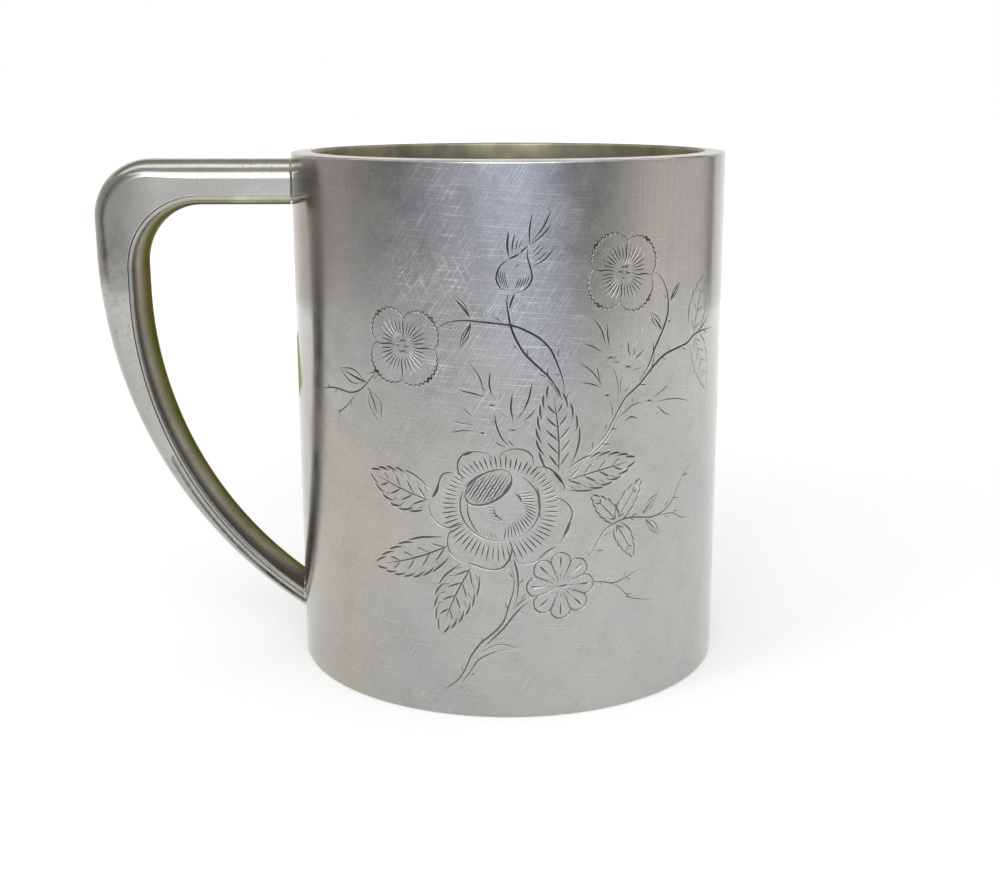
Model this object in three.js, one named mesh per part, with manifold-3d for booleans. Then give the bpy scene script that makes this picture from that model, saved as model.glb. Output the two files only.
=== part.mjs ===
// A straight-sided silver-plated mug: a rolled sheet wall, a let-in base, an applied rim wire and a
// hollow two-piece handle, all joined with solder. Millimetres, +Z up, the origin at the centre of
// the underside, the handle towards -X.
import * as THREE from 'three';
import { mergeVertices } from 'three/addons/utils/BufferGeometryUtils.js';
import Module from 'manifold-3d';

const wasm = await Module();
wasm.setup();

// Body: overall size, sheet and edges
const bodyDiameter = 74;
const bodyHeight = 88.5;
const wallThickness = 1.2;
const footEdgeRadius = 0.5;
const baseThickness = 1.2;
const seamWidth = 0.6;

// Rim wire: flush with the wall outside, overhanging it inside
const rimWidth = 3.8;
const rimDepth = 3.6;
const rimFall = 0.3;
const rimShoulderRadius = 0.4;
const rimLipRadius = 0.5;

// Handle: the side view, from the crest of the rim down and from the wall outwards
const armDrop = 1.3;
const armThickness = 7.4;
const gripThickness = 7.7;
const handleReach = 34.45;
const outerElbowRadius = 10;
const innerElbowRadius = 11.2;
const outerStraight = 5.7;
const innerStraight = 4.1;
const footHeight = 6.4;
const footRise = 4.9;

// Handle: the section, from front to back and from the grip side outwards
const armWidth = 12;
const footWidth = 9.6;
const armDome = 3.3;
const footDome = 1.7;
const stripHeight = 1.3;
const stripRise = 0.3;
const handleSheet = 0.9;

// Solder and clearances
const innerFillet = 1.1;
const filletHollowShare = 1 / 3;
const seamFillet = 0.7;
const handleFillet = 0.6;
const filletEdge = 0.15;
const filletGap = 0.15;
const solderFilm = 0.05;
const endGap = 0.3;
const overrun = 3;

// Counts of facets
const turnFacets = 72;
const edgeFacets = 4;
const domeFacets = 12;
const armSteps = 4;
const elbowSteps = 10;
const limbSteps = 16;
const filletSteps = 10;
const halvings = 40;

// Sizes that follow from those above
const bodyRadius = bodyDiameter / 2;
const boreRadius = bodyRadius - wallThickness;
const wallTop = bodyHeight - rimDepth;
const armTop = bodyHeight - armDrop;
const armFloor = armTop - armThickness;
const outerReach = bodyRadius + handleReach;
const innerReach = outerReach - gripThickness;
const buried = bodyRadius - overrun;

const plate = { color: 0x9c9b96, metalness: 1, roughness: 0.32 };
const solder = { color: 0x8b8a86, metalness: 1, roughness: 0.4 };

// Booleans: a closed mesh to a solid and back

function toSolid(geometry) {
  const bare = geometry.clone();
  bare.deleteAttribute('normal');
  bare.deleteAttribute('uv');
  const merged = mergeVertices(bare);
  const mesh = new wasm.Mesh({
    numProp: 3,
    vertProperties: new Float32Array(merged.attributes.position.array),
    triVerts: new Uint32Array(merged.index.array),
  });
  return new wasm.Manifold(mesh);
}

function toGeometry(solid) {
  const mesh = solid.getMesh();
  const geometry = new THREE.BufferGeometry();
  geometry.setAttribute('position', new THREE.BufferAttribute(mesh.vertProperties, mesh.numProp));
  geometry.setIndex(new THREE.BufferAttribute(mesh.triVerts, 1));
  geometry.computeVertexNormals();
  return geometry;
}

function named(name, geometry, finish) {
  const mesh = new THREE.Mesh(geometry, new THREE.MeshStandardMaterial(finish));
  mesh.name = name;
  return mesh;
}

// Round work: a closed outline of radius and height, turned about the mug's axis

function turned(outline) {
  const closed = [...outline, outline[0].clone()];
  const geometry = new THREE.LatheGeometry(closed, turnFacets);
  geometry.rotateX(Math.PI / 2);
  return geometry;
}

function at(radius, height) {
  return new THREE.Vector2(radius, height);
}

function roundedCorner(centre, radius, fromDegrees, toDegrees) {
  const points = [];
  for (let step = 0; step <= edgeFacets; step += 1) {
    const degrees = fromDegrees + (toDegrees - fromDegrees) * step / edgeFacets;
    const angle = THREE.MathUtils.degToRad(degrees);
    points.push(at(centre.x + radius * Math.cos(angle), centre.y + radius * Math.sin(angle)));
  }
  return points;
}

// The wall is a strip of sheet rolled to a tube, with its butt seam behind the handle

function bodyWall() {
  const tube = turned([
    at(boreRadius, 0),
    ...roundedCorner(at(bodyRadius - footEdgeRadius, footEdgeRadius), footEdgeRadius, -90, 0),
    at(bodyRadius, wallTop - solderFilm),
    at(boreRadius, wallTop - solderFilm),
  ]);
  const slot = new THREE.BoxGeometry(wallThickness + 2 * overrun, seamWidth, bodyHeight + overrun);
  slot.translate(wallThickness / 2 - bodyRadius, 0, bodyHeight / 2);
  return toGeometry(toSolid(tube).subtract(toSolid(slot)));
}

function bodySeamSolder() {
  const depth = wallThickness - 2 * solderFilm;
  const height = wallTop - footEdgeRadius - solderFilm;
  const strip = new THREE.BoxGeometry(depth, seamWidth - 2 * solderFilm, height);
  strip.translate(wallThickness / 2 - bodyRadius, 0, footEdgeRadius + height / 2);
  return strip;
}

// The rim wire is a flat moulding with rounded edges, a little higher at its inner lip than outside

function rimWire() {
  const innerRadius = bodyRadius - rimWidth;
  const shoulder = at(bodyRadius - rimShoulderRadius, bodyHeight - rimFall - rimShoulderRadius);
  const lip = at(innerRadius + rimLipRadius, bodyHeight - rimLipRadius);
  const underLip = at(innerRadius + rimLipRadius, wallTop + rimLipRadius);
  return turned([
    at(bodyRadius, wallTop),
    ...roundedCorner(shoulder, rimShoulderRadius, 0, 84),
    ...roundedCorner(lip, rimLipRadius, 84, 180),
    ...roundedCorner(underLip, rimLipRadius, 180, 270),
  ]);
}

function rimSolderRing() {
  const outer = boreRadius - solderFilm;
  const top = wallTop - solderFilm;
  const hollow = innerFillet * filletHollowShare;
  return turned([
    at(outer, top),
    at(outer - innerFillet, top),
    at(outer - hollow, top - hollow),
    at(outer, top - innerFillet),
  ]);
}

// The base is a flat disc let into the wall, level with its lower edge

function basePlate() {
  const disc = new THREE.CylinderGeometry(
    boreRadius - solderFilm,
    boreRadius - solderFilm,
    baseThickness,
    turnFacets,
  );
  disc.rotateX(Math.PI / 2);
  disc.translate(0, 0, baseThickness / 2);
  return disc;
}

function baseSolderRing() {
  const outer = boreRadius - solderFilm;
  const floor = baseThickness + solderFilm;
  const hollow = innerFillet * filletHollowShare;
  return turned([
    at(outer, floor),
    at(outer, floor + innerFillet),
    at(outer - hollow, floor + hollow),
    at(outer - innerFillet, floor),
  ]);
}

// The handle's side view, in Vector2 with the mug's X as x and its Z as y: an inner line in the grip
// and an outer one, each a straight arm, a quarter-round elbow, a short straight and a long arc.

const innerElbow = at(innerElbowRadius - innerReach, armFloor - innerElbowRadius);
const outerElbow = at(outerElbowRadius - outerReach, armTop - outerElbowRadius);

// The long arc starts upright at its reach, and its radius is the one that takes it to the wall at
// the foot's height
function limbRadius(reach, startHeight, endHeight) {
  const run = reach - bodyRadius;
  return ((startHeight - endHeight) ** 2 + run ** 2) / (2 * run);
}

const innerLimbTop = innerElbow.y - innerStraight;
const outerLimbTop = outerElbow.y - outerStraight;
const innerLimbRadius = limbRadius(innerReach, innerLimbTop, footHeight + footRise);
const outerLimbRadius = limbRadius(outerReach, outerLimbTop, footHeight);
const innerLimb = at(innerLimbRadius - innerReach, innerLimbTop);
const outerLimb = at(outerLimbRadius - outerReach, outerLimbTop);

function arcOf(centre, radius, fromDegrees, toDegrees) {
  const from = THREE.MathUtils.degToRad(fromDegrees);
  const to = THREE.MathUtils.degToRad(toDegrees);
  return new THREE.EllipseCurve(centre.x, centre.y, radius, radius, from, to, false, 0);
}

const outerUpperLine = new THREE.CurvePath();
outerUpperLine.add(new THREE.LineCurve(at(-buried, armTop), at(outerElbow.x, armTop)));
outerUpperLine.add(arcOf(outerElbow, outerElbowRadius, 90, 180));
outerUpperLine.add(new THREE.LineCurve(at(-outerReach, outerElbow.y), at(-outerReach, innerElbow.y)));
const outerLimbLine = arcOf(outerLimb, outerLimbRadius, 180, 270);

// The point where the ray from the pivot meets a line, found by halving
function whereMet(line, pivot, aim) {
  let before = 0;
  let after = 1;
  for (let pass = 0; pass < halvings; pass += 1) {
    const middle = (before + after) / 2;
    const toLine = line.getPoint(middle).sub(pivot);
    if (aim.cross(toLine) < 0) {
      before = middle;
    } else {
      after = middle;
    }
  }
  return line.getPoint(before);
}

// A station is a point on the grip side, the point across from it outside, the section's width
// from front to back and the height of its outer dome

function armStation(x) {
  return { inner: at(x, armFloor), outer: at(x, armTop), width: armWidth, dome: armDome };
}

function elbowStation(share) {
  const turn = Math.PI / 2 * share;
  const aim = at(-Math.sin(turn), Math.cos(turn));
  const inner = innerElbow.clone().addScaledVector(aim, innerElbowRadius);
  const outer = whereMet(outerUpperLine, innerElbow, aim);
  return { inner, outer, width: armWidth, dome: armDome };
}

const buriedTurn = Math.acos((outerLimb.x + buried) / outerLimbRadius);
const footEnd = outerLimb.clone().add(
  at(-Math.cos(buriedTurn), -Math.sin(buriedTurn)).multiplyScalar(outerLimbRadius),
);
const limbTurn = Math.atan2(innerLimb.y - footEnd.y, innerLimb.x - footEnd.x);

function limbStation(share) {
  const aim = at(-Math.cos(limbTurn * share), -Math.sin(limbTurn * share));
  const inner = innerLimb.clone().addScaledVector(aim, innerLimbRadius);
  const outer = whereMet(outerLimbLine, innerLimb, aim);
  const width = THREE.MathUtils.lerp(armWidth, footWidth, share);
  return { inner, outer, width, dome: THREE.MathUtils.lerp(armDome, footDome, share) };
}

function inSteps(steps, station, from, to) {
  const run = [];
  for (let step = 0; step <= steps; step += 1) {
    run.push(station(THREE.MathUtils.lerp(from, to, step / steps)));
  }
  return run;
}

const handleRun = [
  ...inSteps(armSteps, armStation, -buried, innerElbow.x).slice(0, -1),
  ...inSteps(elbowSteps, elbowStation, 0, 1),
  ...inSteps(limbSteps, limbStation, 0, 1),
];

// A spot of a section is given by its y and by its height over the grip side
function placed(station, y, height) {
  const reach = height / station.outer.distanceTo(station.inner);
  const x = THREE.MathUtils.lerp(station.inner.x, station.outer.x, reach);
  const z = THREE.MathUtils.lerp(station.inner.y, station.outer.y, reach);
  return new THREE.Vector3(x, y, z);
}

// A straight blank is bent to the stations: its -x is the share across a section from front to back,
// its y the share through the sheet from the inside out, and its z the station
function formed(across, run, spotOf) {
  const steps = run.length - 1;
  const blank = new THREE.BoxGeometry(1, 1, 1, across, 1, steps);
  const position = blank.attributes.position;
  for (let index = 0; index < position.count; index += 1) {
    const acrossShare = 1 / 2 - position.getX(index);
    const throughShare = position.getY(index) + 1 / 2;
    const station = run[Math.round((position.getZ(index) + 1 / 2) * steps)];
    const spot = spotOf(acrossShare, throughShare, station);
    const place = placed(station, spot.x, spot.y);
    position.setXYZ(index, place.x, place.y, place.z);
  }
  blank.computeVertexNormals();
  return toSolid(blank);
}

// The channel's two straight sides take the first and the last facet, and its dome the others
function channelSpot(acrossShare, depth, station) {
  const facets = domeFacets + 2;
  const facet = Math.round(acrossShare * facets);
  const turn = Math.PI * THREE.MathUtils.clamp((facet - 1) / domeFacets, 0, 1);
  const y = -(station.width / 2 - depth) * Math.cos(turn);
  if (facet === 0 || facet === facets) {
    return at(y, stripHeight + solderFilm);
  }
  const spring = station.outer.distanceTo(station.inner) - station.dome;
  return at(y, spring + (station.dome - depth) * Math.sin(turn));
}

function handleOuterShell() {
  const channel = formed(domeFacets + 2, handleRun, (acrossShare, throughShare, station) => (
    channelSpot(acrossShare, handleSheet * (1 - throughShare), station)
  ));
  return toGeometry(channel.subtract(wallCutter));
}

// The strip closes the channel: a flat back, two narrow edges and a face that is a low arc
function stripFace(y, station) {
  const radius = ((station.width / 2) ** 2 + stripRise ** 2) / (2 * stripRise);
  return radius - Math.sqrt(radius ** 2 - y ** 2);
}

function handleInnerStrip() {
  const strip = formed(domeFacets, handleRun, (acrossShare, throughShare, station) => {
    const y = station.width * (acrossShare - 1 / 2);
    return at(y, throughShare > 1 / 2 ? stripHeight : stripFace(y, station));
  });
  return toGeometry(strip.subtract(wallCutter));
}

// A thread of solder fills each inner corner between the channel's side and the strip's back
function handleSeamSolder(side) {
  const thread = formed(1, handleRun, (acrossShare, throughShare, station) => {
    const fromSide = side > 0 ? 1 - acrossShare : acrossShare;
    const corner = station.width / 2 - handleSheet - solderFilm;
    const rise = THREE.MathUtils.lerp(seamFillet, solderFilm, fromSide) * throughShare;
    return at(side * (corner - seamFillet * fromSide), stripHeight + solderFilm + rise);
  });
  return toGeometry(thread.subtract(wallCutter));
}

// The whole handle as one filled form, each spot of it moved outwards by the growth there
function filledHandle(run, growthAt) {
  return formed(domeFacets, run, (acrossShare, throughShare, station) => {
    const turn = Math.PI * acrossShare;
    const y = -station.width / 2 * Math.cos(turn);
    if (throughShare > 1 / 2) {
      const spring = station.outer.distanceTo(station.inner) - station.dome;
      const height = spring + station.dome * Math.sin(turn);
      const growth = growthAt(placed(station, y, height));
      return at(y - growth * Math.cos(turn), height + growth * Math.sin(turn));
    }
    const face = stripFace(y, station);
    const growth = growthAt(placed(station, y, face));
    return at(y - growth * Math.cos(turn), face - growth);
  });
}

// The solder round an end of the handle is a fillet: it is widest at the wall
function endFillet(run) {
  const fillet = filledHandle(run, (place) => {
    const offWall = Math.hypot(place.x, place.y) - bodyRadius - endGap;
    const share = THREE.MathUtils.clamp(1 - offWall / handleFillet, 0, 1);
    return filletGap + THREE.MathUtils.lerp(filletEdge, handleFillet, share);
  });
  const snug = filledHandle(run, () => filletGap);
  return toGeometry(fillet.intersect(filletReach).subtract(snug).subtract(wallCutter));
}

function upperHandleSolder() {
  const end = -(bodyRadius + endGap + handleFillet + overrun);
  return endFillet(inSteps(filletSteps, armStation, -buried, end));
}

function lowerHandleSolder() {
  const clear = bodyRadius + endGap + handleFillet + overrun;
  const clearTurn = Math.acos((innerLimb.x + clear) / innerLimbRadius);
  return endFillet(inSteps(filletSteps, limbStation, clearTurn / limbTurn, 1));
}

// The room that the body takes up, and the room round it that the handle's solder reaches
function roundRoom(radius) {
  return toSolid(turned([
    at(0, -overrun),
    at(radius, -overrun),
    at(radius, bodyHeight + overrun),
    at(0, bodyHeight + overrun),
  ]));
}

const wallCutter = roundRoom(bodyRadius + endGap);
const filletReach = roundRoom(bodyRadius + endGap + handleFillet);

const mug = new THREE.Group();
mug.add(named('body_wall', bodyWall(), plate));
mug.add(named('body_seam_solder', bodySeamSolder(), solder));
mug.add(named('rim_wire', rimWire(), plate));
mug.add(named('rim_solder_ring', rimSolderRing(), solder));
mug.add(named('base_plate', basePlate(), plate));
mug.add(named('base_solder_ring', baseSolderRing(), solder));
mug.add(named('handle_outer_shell', handleOuterShell(), plate));
mug.add(named('handle_inner_strip', handleInnerStrip(), plate));
mug.add(named('handle_front_seam_solder', handleSeamSolder(-1), solder));
mug.add(named('handle_rear_seam_solder', handleSeamSolder(1), solder));
mug.add(named('upper_handle_solder', upperHandleSolder(), solder));
mug.add(named('lower_handle_solder', lowerHandleSolder(), solder));

export default mug;
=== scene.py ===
"""The looks of a straight-sided silver-plated mug with an engraved spray of garden flowers.

Lengths are written in millimetres and turned to metres with mm, and the frame is the CAD model's:
+Z up from the underside, the handle towards -X, the engraved front towards -Y.
"""
import math

import bmesh
import bpy
import numpy as np
from mathutils import Matrix, Vector
from mathutils.geometry import delaunay_2d_cdt


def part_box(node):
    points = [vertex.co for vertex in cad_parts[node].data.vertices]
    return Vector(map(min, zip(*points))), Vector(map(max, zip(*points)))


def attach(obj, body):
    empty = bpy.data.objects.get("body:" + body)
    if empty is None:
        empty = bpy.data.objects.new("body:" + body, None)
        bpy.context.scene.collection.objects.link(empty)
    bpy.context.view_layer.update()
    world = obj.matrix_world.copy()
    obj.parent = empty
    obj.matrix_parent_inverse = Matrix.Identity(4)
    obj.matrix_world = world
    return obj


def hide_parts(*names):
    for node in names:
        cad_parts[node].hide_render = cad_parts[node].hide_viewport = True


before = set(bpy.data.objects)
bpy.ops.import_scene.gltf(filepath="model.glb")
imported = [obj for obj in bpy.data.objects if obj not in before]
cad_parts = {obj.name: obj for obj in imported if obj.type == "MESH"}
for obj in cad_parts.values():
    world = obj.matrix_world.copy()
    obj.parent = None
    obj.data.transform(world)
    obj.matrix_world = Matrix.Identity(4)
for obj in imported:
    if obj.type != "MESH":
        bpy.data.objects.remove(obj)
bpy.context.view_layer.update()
mm = 0.001


# The camera stands where the photograph's stood: near the mug, a little above its rim, looking down.
# The place and the angles come from fitting a pinhole camera to the rim, the foot and both sides.
camera_away = 254.9 * mm
camera_height = 98.8 * mm
photo_width = 1000
focal_pixels = 1456.9
look_down = math.radians(13.68)
look_right = math.radians(-0.33)
camera_roll = math.radians(-0.118)

forward = Vector((
    math.sin(look_right) * math.cos(look_down),
    math.cos(look_right) * math.cos(look_down),
    -math.sin(look_down),
))
level_right = Vector((math.cos(look_right), -math.sin(look_right), 0))
level_up = level_right.cross(forward)
right = math.cos(camera_roll) * level_right + math.sin(camera_roll) * level_up
up = math.cos(camera_roll) * level_up - math.sin(camera_roll) * level_right

camera_data = bpy.data.cameras.new("camera")
camera_data.lens = focal_pixels / photo_width * camera_data.sensor_width
camera_data.clip_start = 5 * mm
camera_data.clip_end = 20
camera = bpy.data.objects.new("camera", camera_data)
camera.matrix_world = Matrix.LocRotScale(
    Vector((0, -camera_away, camera_height)),
    Matrix((right, up, -forward)).transposed(),
    None,
)
bpy.context.scene.collection.objects.link(camera)
bpy.context.scene.camera = camera


# The spray of flowers is cut with a graver: each stroke is a narrow V groove that starts and ends in
# a point and throws up a low lip along both sides, whose lighter colour is a painted highlight. It is
# laid out here on the wall's sheet while that is flat: x is the way round from the front's middle and
# z the height, both in millimetres.
strokes = []


def smooth_line(points, step=0.3):
    """A line through given points: Catmull-Rom's cubic, in steps of about that length."""
    p = np.asarray(points, float)
    held = np.vstack([2 * p[0] - p[1], p, 2 * p[-1] - p[-2]])
    travelled = np.concatenate([[0], np.cumsum(np.linalg.norm(np.diff(p, axis=0), axis=1))])
    count = max(int(travelled[-1] / step), 5)
    along = np.interp(np.linspace(0, travelled[-1], count + 1), travelled, np.arange(len(p)))
    first = np.minimum(along.astype(int), len(p) - 2)
    t = (along - first)[:, None]
    a, b, c, d = (held[first + k] for k in range(4))
    return (2 * b + (c - a) * t + (2 * a - 5 * b + 4 * c - d) * t**2 + (3 * (b - c) + d - a) * t**3) / 2


def carve(line, width, bold=0.5, blunt=0.1):
    """Notes a stroke along a line. Its width rises as a sine from a point to its full value at the
    bold share of the way, and falls to a point again; blunt is the share left at the points."""
    run = np.linspace(0, 1, len(line)) ** (math.log(0.5) / math.log(bold))
    swell = np.sin(np.pi * run).clip(0) ** 0.6
    strokes.append((line, width * 0.55 * (blunt + (1 - blunt) * swell)))


def cut(points, width=0.28, bold=0.5):
    """A stroke through the points, given as x, z, x, z and so on."""
    carve(smooth_line(np.reshape(points, (-1, 2))), width, bold)


def flick(x0, z0, x1, z1, bow=0.0, width=0.22, bold=0.5):
    """A short stroke from one point to another, its middle pushed to the left by the bow."""
    start, end = np.array((x0, z0)), np.array((x1, z1))
    left = np.array((z0 - z1, x1 - x0)) / np.linalg.norm(end - start)
    carve(smooth_line([start, (start + end) / 2 + left * bow, end]), width, bold)


def polar(centre, radius, degrees):
    """Points at a radius and an angle from a centre, anticlockwise from +x, as an array of pairs."""
    turn = np.radians(degrees)
    return np.stack([centre[0] + radius * np.cos(turn), centre[1] + radius * np.sin(turn)], -1)


def leaf(base, tip, half_width, bend, left_edge, right_edge, veins=4, shade=0, weight=1.0):
    """A rose leaf. Each edge is a number of strokes, of which the first runs to a share of the length
    and the rest shorten towards the tip; every one starts inside the end of the last, so that the
    edge is toothed. The outline is widest at the middle of the first stroke. Veins slope to the tip,
    and shade is how many fine hatching lines lie along each side. Weight thins the strokes."""
    base, tip = np.array(base), np.array(tip)
    length = np.linalg.norm(tip - base)
    ahead = (tip - base) / length
    left = np.array((-ahead[1], ahead[0]))

    def spot(t, side, offset=0.0, share=1.0):
        t = np.asarray(t, float)
        outline = np.interp(t, (0, 0.07, 0.3, 0.5, 0.7, 0.85, 1), (0.55, 0.72, 0.99, 1, 0.78, 0.5, 0.08))
        across = side * half_width * (share * outline + offset) + bend * 4 * t * (1 - t)
        return base + t[:, None] * length * ahead + across[:, None] * left

    carve(smooth_line(spot([0, 0.3, 0.6, 0.88], 1, 0, 0)), 0.32 * weight, 0.35)
    for side, (count, first_end) in ((1, left_edge), (-1, right_edge)):
        ends = 1 - (1 - first_end) * (1 - np.linspace(0, 1, count)) ** 1.15
        starts = np.concatenate([[0.03], ends[:-1] - 0.06])
        for start, end in zip(starts, ends):
            t = np.linspace(start, end, 4)
            step_in = np.array((-0.2, -0.08, 0.0, 0.05)) * (0.3 if start < 0.1 else 1)
            carve(smooth_line(spot(t, side, step_in)), 0.4 * weight, 0.6, 0.2)
        for start in np.linspace(0.04, 0.66, veins):
            t = start + np.array((0, 0.07, 0.15)) * (1.15 - 0.5 * start)
            carve(smooth_line(spot(t, side, 0, np.array((0.02, 0.3, 0.58)))), 0.34 * weight, 0.5)
        for share in np.linspace(0.04, 0.6, shade):
            t = share + np.array((0, 0.04, 0.08))
            carve(smooth_line(spot(t, side, 0, np.array((0.5, 0.7, 0.88)))), 0.17, 0.5)


def small_leaf(base, tip, half_width, bow=0.0):
    """A leaflet: two bowed edges and a wedge down its middle."""
    flick(*base, *tip, half_width + bow, 0.22, 0.6)
    flick(*base, *tip, -half_width + bow, 0.22, 0.6)
    middle = np.array(base) * 0.2 + np.array(tip) * 0.8
    flick(*base, *middle, bow * 0.7, 0.34, 0.35)


def mallow(centre, size, turn, notches, heavy):
    """A four-petalled mallow. A petal's radius is the size less what both of its notches take, which
    dies away with the fifth power of the share across it, plus a fine ripple. Seven rays fan out in
    each petal's throat, a wedge parts it from the next one and four dots mark the middle."""
    for petal in range(4):
        share = np.linspace(0, 1, 96)
        before, after = 1 - notches[petal], 1 - notches[(petal + 1) % 4]
        ripple = 0.028 * np.sin(share * 25 * np.pi + petal) * np.sin(np.pi * share).clip(0) ** 0.5
        radius = size * (1 - before * (1 - share) ** 5 - after * share**5 + ripple)
        degrees = turn + 90 * (petal + share)
        edge = polar(centre, radius, degrees)
        carve(edge, 0.25, 0.45 + 0.05 * petal, 0.6)
        thick = slice(int(96 * heavy), int(96 * heavy) + 16)
        carve(edge[thick], 0.45, 0.5)
        wedge = np.array((0.27, 0.5, 0.75, 1.0)) * (size * notches[petal])
        sway = turn + 90 * petal + np.array((4, -3, 2, 0))
        carve(smooth_line(polar(centre, wedge, sway)), 0.3, 0.5)
        for ray in np.linspace(0.14, 0.86, 7):
            reach = 0.56 + 0.14 * math.sin(math.pi * ray)
            bearing = turn + 90 * (petal + ray) + np.array((6 * (0.5 - ray), 0, -3 * (0.5 - ray)))
            carve(smooth_line(polar(centre, np.array((0.25, 0.42, reach)) * size, bearing)), 0.26, 0.5)
        dot = polar(centre, 0.125 * size, turn + 90.0 * petal)
        flick(dot[0] - 0.13, dot[1], dot[0] + 0.13, dot[1] + 0.03, 0, 0.3)


def daisy(centre, petals=8):
    """Eight petals round a dotted eye. Each is a loop of nine points, 3.6 mm long, with a wedge."""
    out = np.array((1.9, 3.0, 4.4, 5.2, 5.5, 5.2, 4.4, 3.0, 1.9))
    aside = np.array((-0.6, -1.3, -1.55, -0.9, 0, 0.9, 1.55, 1.3, 0.6))
    for petal in range(petals):
        degrees = 360 * petal / petals
        loop = polar(centre, np.hypot(out, aside), degrees + np.degrees(np.arctan2(aside, out)))
        line = smooth_line(loop, 0.22)
        rough = 0.05 * np.sin(np.arange(len(line)) * 2.1)
        from_centre = line - centre
        line = line + from_centre / np.linalg.norm(from_centre, axis=1)[:, None] * rough[:, None]
        carve(line, 0.27, 0.5, 0.5)
        carve(smooth_line(polar(centre, np.array((2.5, 3.8, 4.9)), degrees)), 0.44, 0.7)
    for dot in range(16):
        place = polar(centre, np.array((1.45, 1.7)), 360 * dot / 16)
        carve(smooth_line(place), 0.24, 0.5, 0.5)
    flick(centre[0] - 1.2, centre[1] - 0.2, centre[0] + 1.3, centre[1], 0, 0.5, 0.75)


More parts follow.
